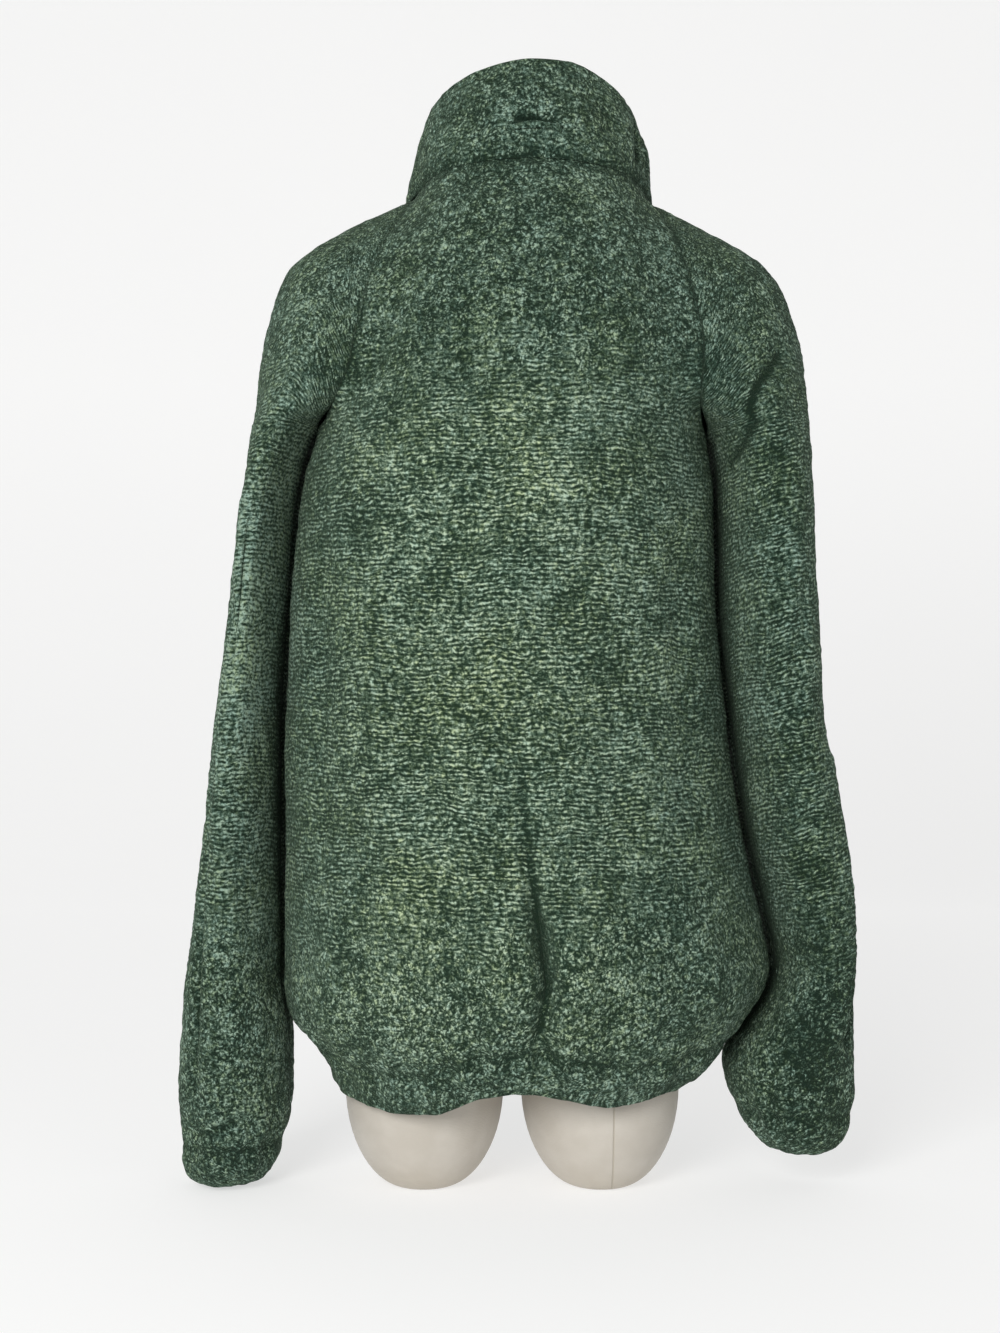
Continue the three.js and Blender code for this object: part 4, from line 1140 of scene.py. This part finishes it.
def hanger_piece(name):
    count, around = 49, 14
    s = np.linspace(0, 1, count)
    spread = math.degrees(20 / 84)
    angle = -1 + mix(-spread, spread, s)
    arch = np.sin(np.pi * s)
    foot = NECK_AT(angle)
    z = 811 + 3 * arch
    place, out = collar_frame(angle, (z - foot) / (RIM_AT(angle) - foot))
    points, faces = [], []
    along = unit(np.gradient(place, axis=0))
    up = np.cross(out, along)
    up = up * np.sign(up[:, 2:3])
    rings = []
    for i in range(count):
        a = np.linspace(0, 2 * np.pi, around, endpoint=False)
        twist = 0.35 * math.sin(9 * s[i]) + 0.2
        wide = 2.6 + 0.35 * math.sin(13 * s[i] + 1)
        thick = 1.15 + 0.2 * math.sin(17 * s[i])
        stand = 0.9 + 2.9 * arch[i]
        w, t = wide * np.cos(a), thick * np.sin(a)
        ring_points = (
            place[i]
            + up[i] * (w * math.cos(twist) - t * math.sin(twist))[:, None]
            + out[i] * (stand + w * math.sin(twist) * 0.5 + t * math.cos(twist))[:, None]
        )
        rings.append(ring_points)
    closed_loft(rings, points, faces)
    return mesh_object(name, points, faces)


hanger = hanger_piece("hanger_strand")


# Materials


class Nodes:
    """Short names for building a material's nodes."""

    def __init__(self, name):
        self.material = bpy.data.materials.new(name)
        self.material.use_nodes = True
        self.tree = self.material.node_tree
        self.shader = self.tree.nodes["Principled BSDF"]

    def put(self, socket, value):
        if isinstance(value, bpy.types.NodeSocket):
            self.tree.links.new(value, socket)
        else:
            socket.default_value = value

    def node(self, kind, inputs=(), **settings):
        """The outputs of a new node with these settings and these values or links on its inputs."""
        node = self.tree.nodes.new("ShaderNode" + kind)
        for name, value in settings.items():
            setattr(node, name, value)
        for key, value in dict(inputs).items():
            self.put(node.inputs[key], value)
        return node.outputs

    def math(self, kind, a, b=0.0, c=0.0, clamp=False):
        return self.node("Math", enumerate((a, b, c)), operation=kind, use_clamp=clamp)[0]

    def add(self, a, b):
        return self.math("ADD", a, b)

    def times(self, a, b):
        return self.math("MULTIPLY", a, b)

    def blend(self, t, a, b):
        return self.node("Mix", {"Factor": t, "A": a, "B": b}, data_type="FLOAT")["Result"]

    def colours(self, t, a, b, kind="MIX"):
        a, b = (c if isinstance(c, bpy.types.NodeSocket) else (*c, 1) for c in (a, b))
        return self.node("Mix", {"Factor": t, 6: a, 7: b}, data_type="RGBA", blend_type=kind)[2]

    def tint(self, t, colour, by):
        return self.colours(t, colour, by, "MULTIPLY")

    def fit(self, value, low, high, to_low=0.0, to_high=1.0):
        values = enumerate((value, low, high, to_low, to_high))
        return self.node("MapRange", values, interpolation_type="SMOOTHSTEP")[0]

    def place(self):
        return self.node("TexCoord")["Object"]

    def uv(self, name):
        return self.node("UVMap", uv_map=name)[0]

    def attribute(self, name):
        return self.node("Attribute", attribute_name=name)["Fac"]

    def split(self, vector):
        return self.node("SeparateXYZ", {0: vector})

    def join(self, x, y, z=0.0):
        return self.node("CombineXYZ", enumerate((x, y, z)))[0]

    def noise(self, vector, size, detail=2.0, rough=0.5):
        """Noise from 0 to 1 with cells of that size in the vector's own unit."""
        inputs = {"Vector": vector, "Scale": 1 / size, "Detail": detail, "Roughness": rough}
        return self.node("TexNoise", inputs)["Fac"]

    def even(self, vector, size, detail=0.0, rough=0.5):
        """Noise about 0 with a spread of about 1."""
        return self.times(self.add(self.noise(vector, size, detail, rough), -0.5), 7.0)

    def move(self, vector, by):
        return self.node("VectorMath", {0: vector, 1: (by, by, by)}, operation="ADD")[0]

    def cells(self, vector, size, uneven):
        """Distance to the nearest of scattered points, as a share of size, and that point's own value."""
        inputs = {"Vector": vector, "Scale": 1 / size, "Randomness": uneven}
        found = self.node("TexVoronoi", inputs, voronoi_dimensions="2D")
        return found["Distance"], self.split(found["Color"])[0]

    def total(self, *pairs):
        whole = 0.0
        for weight, value in pairs:
            whole = self.math("MULTIPLY_ADD", value, weight, whole)
        return whole

    def ramp(self, t, steps):
        node = self.tree.nodes.new("ShaderNodeValToRGB")
        band = node.color_ramp
        while len(band.elements) < len(steps):
            band.elements.new(0.5)
        for element, (at, colour) in zip(band.elements, steps):
            element.position = at
            element.color = (*colour, 1)
        self.put(node.inputs[0], t)
        return node.outputs[0]

    def bump(self, height, distance, strength=1.0):
        found = self.node("Bump", {"Strength": strength, "Distance": distance, "Height": height})
        self.tree.links.new(found["Normal"], self.shader.inputs["Normal"])

    def finish(self, colour, roughness=0.9, metallic=0.0, specular=0.3, sheen=0.0, sheen_tint=(1, 1, 1)):
        values = {
            "Base Color": colour,
            "Roughness": roughness,
            "Metallic": metallic,
            "Specular IOR Level": specular,
            "Sheen Weight": sheen,
            "Sheen Roughness": 0.5,
            "Sheen Tint": (*sheen_tint, 1),
        }
        for name, value in values.items():
            self.put(self.shader.inputs[name], value)
        return self.material


def linear(r, g, b):
    return tuple(((c / 255 + 0.055) / 1.055) ** 2.4 for c in (r, g, b))


# The pile from its hollows to its tips: partly the yarn's own heather, partly painted shade that darkens the
# hollows between curls
PILE_COLOURS = [
    (0.04, linear(22, 38, 28)),
    (0.3, linear(47, 65, 52)),
    (0.5, linear(71, 90, 75)),
    (0.7, linear(101, 121, 105)),
    (0.97, linear(148, 170, 151)),
]
# warmer tone and painted light down the middle of the back
MIDDLE_TINT_AND_LIGHT = (1.52, 1.4, 1.32)
YELLOW_STRANDS = (1.06, 1.03, 0.87)
BLUE_STRANDS = (0.93, 0.99, 1.06)


def fleece_material():
    n = Nodes("fleece_pile")
    place = n.place()
    across, along, _ = n.split(n.uv("Cloth"))
    across, along = n.times(across, 1000), n.times(along, 1000)
    order = n.attribute("order")
    # curls that lie in wandering courses
    sway = n.total((0.5, n.even(place, 0.024)), (0.4, n.even(place, 0.007)))
    slip = n.total((0.7, n.even(place, 0.017)), (0.5, n.even(n.move(place, 3), 0.006)))
    row_at = n.times(n.add(along, sway), 1 / ROW_PITCH)
    near, tone = n.cells(n.join(n.times(n.add(across, slip), 1 / 3.4), row_at), 1, 0.8)
    gap = n.math("ABSOLUTE", n.add(n.math("FRACT", row_at), -0.5))
    dash = n.even(n.join(n.times(across, 0.45), n.add(along, sway)), 2.0, 1, 0.6)
    ordered = n.total((-0.75, near), (-1.1, gap), (0.38, tone), (0.28, dash))
    # curls that lie in all directions
    twist = n.total((0.9, n.even(n.move(place, 5), 0.0055, 1)), (0.8, n.even(n.move(place, 6), 0.013)))
    turn = n.total((0.9, n.even(n.move(place, 7), 0.0055, 1)), (0.8, n.even(n.move(place, 8), 0.013)))
    near, tone = n.cells(n.join(n.add(across, twist), n.add(along, turn)), 2.6, 1.0)
    grain = n.even(n.move(place, 9), 0.002, 1, 0.6)
    loose = n.total((-1.0, near), (0.7, tone), (0.25, grain))
    order = n.total((1.0, order), (0.2, n.even(place, 0.022, 1)), (0.16, n.even(place, 0.007)))
    order = n.fit(order, 0.05, 0.95)
    # the brushed-about pile is set darker: partly its own tone, partly painted shade on the collar, yoke and
    # hem
    relief = n.blend(order, n.add(loose, -0.07), n.add(ordered, 0.27))
    clumps = n.total((0.08, n.even(place, 0.0085, 1)), (0.05, n.even(place, 0.02)))
    clumps = n.math("MULTIPLY_ADD", n.even(place, 0.045), 0.045, clumps)
    fibre = n.even(place, 0.0014, 2, 0.65)
    height = n.total((1.0, relief), (0.6, clumps), (0.2, fibre))
    n.bump(height, 0.0018, 0.8)
    # the mark of painted shade and painted light darkens or lightens the pile's colour
    shade = n.total((1.0, relief), (1.0, clumps), (0.2, fibre), (-1.0, n.attribute("painted_shading")))
    lightness = n.math("MULTIPLY_ADD", shade, 0.88, 0.5, clamp=True)
    # a little warmer and lighter down the middle of the back: partly the pile's own warmer tone, partly a
    # painted pool of light
    x, _, z = n.split(place)
    middle = n.times(n.fit(n.math("ABSOLUTE", n.add(x, -0.02)), 0.17, 0.04), n.fit(z, 0.06, 0.2))
    middle = n.times(middle, n.fit(z, 0.68, 0.56))
    patch = n.fit(n.noise(n.move(place, 2), 0.07, 1, 0.5), 0.25, 0.6, 0.5, 1)
    colour = n.tint(n.times(middle, patch), n.ramp(lightness, PILE_COLOURS), MIDDLE_TINT_AND_LIGHT)
    # heathered: strands and patches lean to blue or to yellow
    lean = n.total((0.4, n.even(n.move(place, 11), 0.0035)), (0.25, n.even(n.move(place, 12), 0.05)))
    colour = n.tint(n.fit(lean, 0.0, 0.9), colour, YELLOW_STRANDS)
    colour = n.tint(n.fit(lean, 0.0, -0.9), colour, BLUE_STRANDS)
    return n.finish(colour, 0.95, specular=0.1, sheen=0.12, sheen_tint=(0.6, 0.85, 0.6))


def linen_material():
    n = Nodes("form_linen_cover")
    place = n.place()
    x, y, z = n.split(place)
    warp = n.math("SINE", n.times(n.add(x, n.times(y, 0.6)), 2 * math.pi / 0.0011))
    weft = n.math("SINE", n.times(z, 2 * math.pi / 0.0011))
    weave = n.times(n.add(warp, weft), 0.5)
    slub = n.noise(n.join(x, y, n.times(z, 6)), 0.004, 3, 0.6)
    seam = n.fit(n.math("ABSOLUTE", n.add(x, 0.0735)), 0.0, 0.0011)
    behind = n.fit(y, 0.0, 0.01)
    seam_here = n.blend(behind, 1.0, seam)
    n.bump(n.add(n.add(n.times(weave, 0.2), slub), n.times(seam_here, 1.6)), 0.0004, 0.7)
    cloudy = n.noise(place, 0.05, 3, 0.6)
    base = n.colours(n.fit(cloudy, 0.35, 0.7), (0.475, 0.437, 0.381), (0.54, 0.503, 0.447))
    base = n.colours(n.times(n.fit(slub, 0.45, 0.75), 0.35), base, (0.5, 0.465, 0.39))
    # painted shade: the cover darker towards the floor in its lowest 30 mm
    painted_floor_shade = n.fit(z, 0.03, 0.0)
    base = n.colours(n.times(painted_floor_shade, 0.4), base, (0.4, 0.35, 0.27))
    base = n.colours(seam_here, (0.42, 0.38, 0.31), base)
    return n.finish(base, 0.85, specular=0.2, sheen=0.15)


def tape_material():
    n = Nodes("tape_weave")
    across, along, _ = n.split(n.uv("Cloth"))
    slant = n.times(n.math("ABSOLUTE", n.add(across, -0.007)), 0.8)
    ribs = n.math("SINE", n.times(n.add(along, slant), 2 * math.pi / 0.0012))
    threads = n.math("SINE", n.times(across, 2 * math.pi / 0.0009))
    n.bump(n.add(ribs, n.times(threads, 0.6)), 0.00012, 0.8)
    worn = n.noise(n.place(), 0.006, 3, 0.6)
    light = n.fit(n.add(n.times(ribs, 0.1), worn), 0.35, 0.75)
    colour = n.colours(light, (0.01, 0.018, 0.012), (0.026, 0.042, 0.03))
    return n.finish(colour, 0.8, specular=0.25, sheen=0.2)


def teeth_material():
    n = Nodes("zip_teeth_moulded")
    spots = n.noise(n.place(), 0.002, 3, 0.6)
    colour = n.colours(n.fit(spots, 0.3, 0.7), (0.012, 0.02, 0.014), (0.022, 0.032, 0.024))
    n.bump(spots, 0.0001, 0.4)
    return n.finish(colour, n.fit(spots, 0.2, 0.8, 0.3, 0.45), specular=0.5)


def metal_material():
    n = Nodes("zip_metal_lacquer")
    scratch = n.noise(n.place(), 0.0016, 3, 0.65)
    wear = n.noise(n.place(), 0.0045, 3, 0.55)
    colour = n.colours(n.fit(wear, 0.55, 0.72), (0.022, 0.03, 0.026), (0.09, 0.1, 0.095))
    n.bump(scratch, 0.00008, 0.5)
    return n.finish(colour, n.fit(scratch, 0.3, 0.7, 0.26, 0.5), metallic=0.7, specular=0.5)


fleece = fleece_material()
linen = linen_material()
tape_cloth = tape_material()
teeth_plastic = teeth_material()
metal = metal_material()


def dress(piece, material, body, slot, *nodes):
    piece.data.materials.clear()
    piece.data.materials.append(material)
    if nodes:
        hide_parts(*nodes)
    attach(piece, body)


for node, piece in CLOTH_OBJECTS.items():
    dress(piece, fleece, "jacket", "fleece", node)
dress(form_cover, linen, "jacket", "form_linen", "dress_form")
dress(hanger, fleece, "jacket", "fleece", "hanger_loop")
for word in ("left", "right"):
    dress(tapes[word], tape_cloth, "jacket", "zip_tape", f"zip_tape_{word}")
    dress(teeth[word], teeth_plastic, "jacket", "zip_tape")
for node in ("zip_slider", "zip_pull"):
    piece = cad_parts[node]
    piece.data.materials.clear()
    piece.data.materials.append(metal)
    bevel = piece.modifiers.new("worn_edges", "BEVEL")
    bevel.width = 0.00022
    bevel.segments = 2
    bevel.limit_method = "ANGLE"


# Floor, light and camera


def stage_object(name, points, faces, material):
    mesh = bpy.data.meshes.new(name)
    mesh.from_pydata(points, [], faces)
    mesh.shade_smooth()
    mesh.materials.append(material)
    piece = bpy.data.objects.new(name, mesh)
    bpy.context.collection.objects.link(piece)
    return piece


FLOOR_GLOW = 0.58  # evens the light out, as a lit backdrop does


def floor_material():
    n = Nodes("plain_floor")
    speck = n.noise(n.place(), 0.4, 2, 0.5)
    n.shader.inputs["Emission Color"].default_value = (1, 1, 1, 1)
    n.shader.inputs["Emission Strength"].default_value = FLOOR_GLOW
    return n.finish(n.colours(speck, (0.445, 0.445, 0.44), (0.455, 0.455, 0.45)), 0.9, specular=0.1)


def sweep(name, width, front, back, height, radius):
    """A floor that turns up softly into a wall behind the object, as seen from the camera at +Y."""
    profile = [(front, 0.0)]
    for k in range(13):
        a = math.pi / 2 * k / 12
        profile.append((back + radius - radius * math.sin(a), radius - radius * math.cos(a)))
    profile.append((back, height))
    points = [(x, y, z) for x in (-width / 2, width / 2) for y, z in profile]
    count = len(profile)
    faces = [(i, i + 1, count + i + 1, count + i) for i in range(count - 1)]
    return stage_object(name, points, faces, floor_material())


floor = sweep("floor_sweep", 10.0, 5.0, -3.0, 4.5, 1.0)


def area_light(name, place, target, size, power):
    data = bpy.data.lights.new(name, "AREA")
    data.shape = "RECTANGLE"
    data.size, data.size_y = size
    data.energy = power
    light = bpy.data.objects.new(name, data)
    light.location = place
    direction = [t - p for t, p in zip(target, place)]
    light.rotation_euler = Vector(direction).to_track_quat("-Z", "Y").to_euler()
    bpy.context.collection.objects.link(light)


MIDDLE = (0, 0, 0.43)
area_light("key", (0.95, 2.9, 1.3), MIDDLE, (1.2, 1.2), 76)
area_light("fill", (-1.7, 2.4, 1.1), MIDDLE, (1.8, 1.8), 7)
area_light("front_of_jacket", (0.9, -3.4, 1.9), MIDDLE, (1.8, 1.8), 30)

world = bpy.data.worlds.new("soft_room")
world.use_nodes = True
world.node_tree.nodes["Background"].inputs["Color"].default_value = (1, 1, 1, 1)
world.node_tree.nodes["Background"].inputs["Strength"].default_value = 0.35
bpy.context.scene.world = world

FOCAL_PIXELS = 2278.5  # in the photograph's own pixels
PICTURE_HEIGHT = 1333
CAMERA_PLACE = (0.0129, 1.7872, 0.405)
camera_data = bpy.data.cameras.new("camera")
camera_data.sensor_fit = "AUTO"
camera_data.sensor_width = 36
camera_data.lens = camera_data.sensor_width * FOCAL_PIXELS / PICTURE_HEIGHT
camera = bpy.data.objects.new("camera", camera_data)
camera.location = CAMERA_PLACE
camera.rotation_euler = (math.pi / 2, 0, math.pi)
bpy.context.collection.objects.link(camera)
bpy.context.scene.camera = camera
bpy.context.scene.view_settings.view_transform = "Standard"
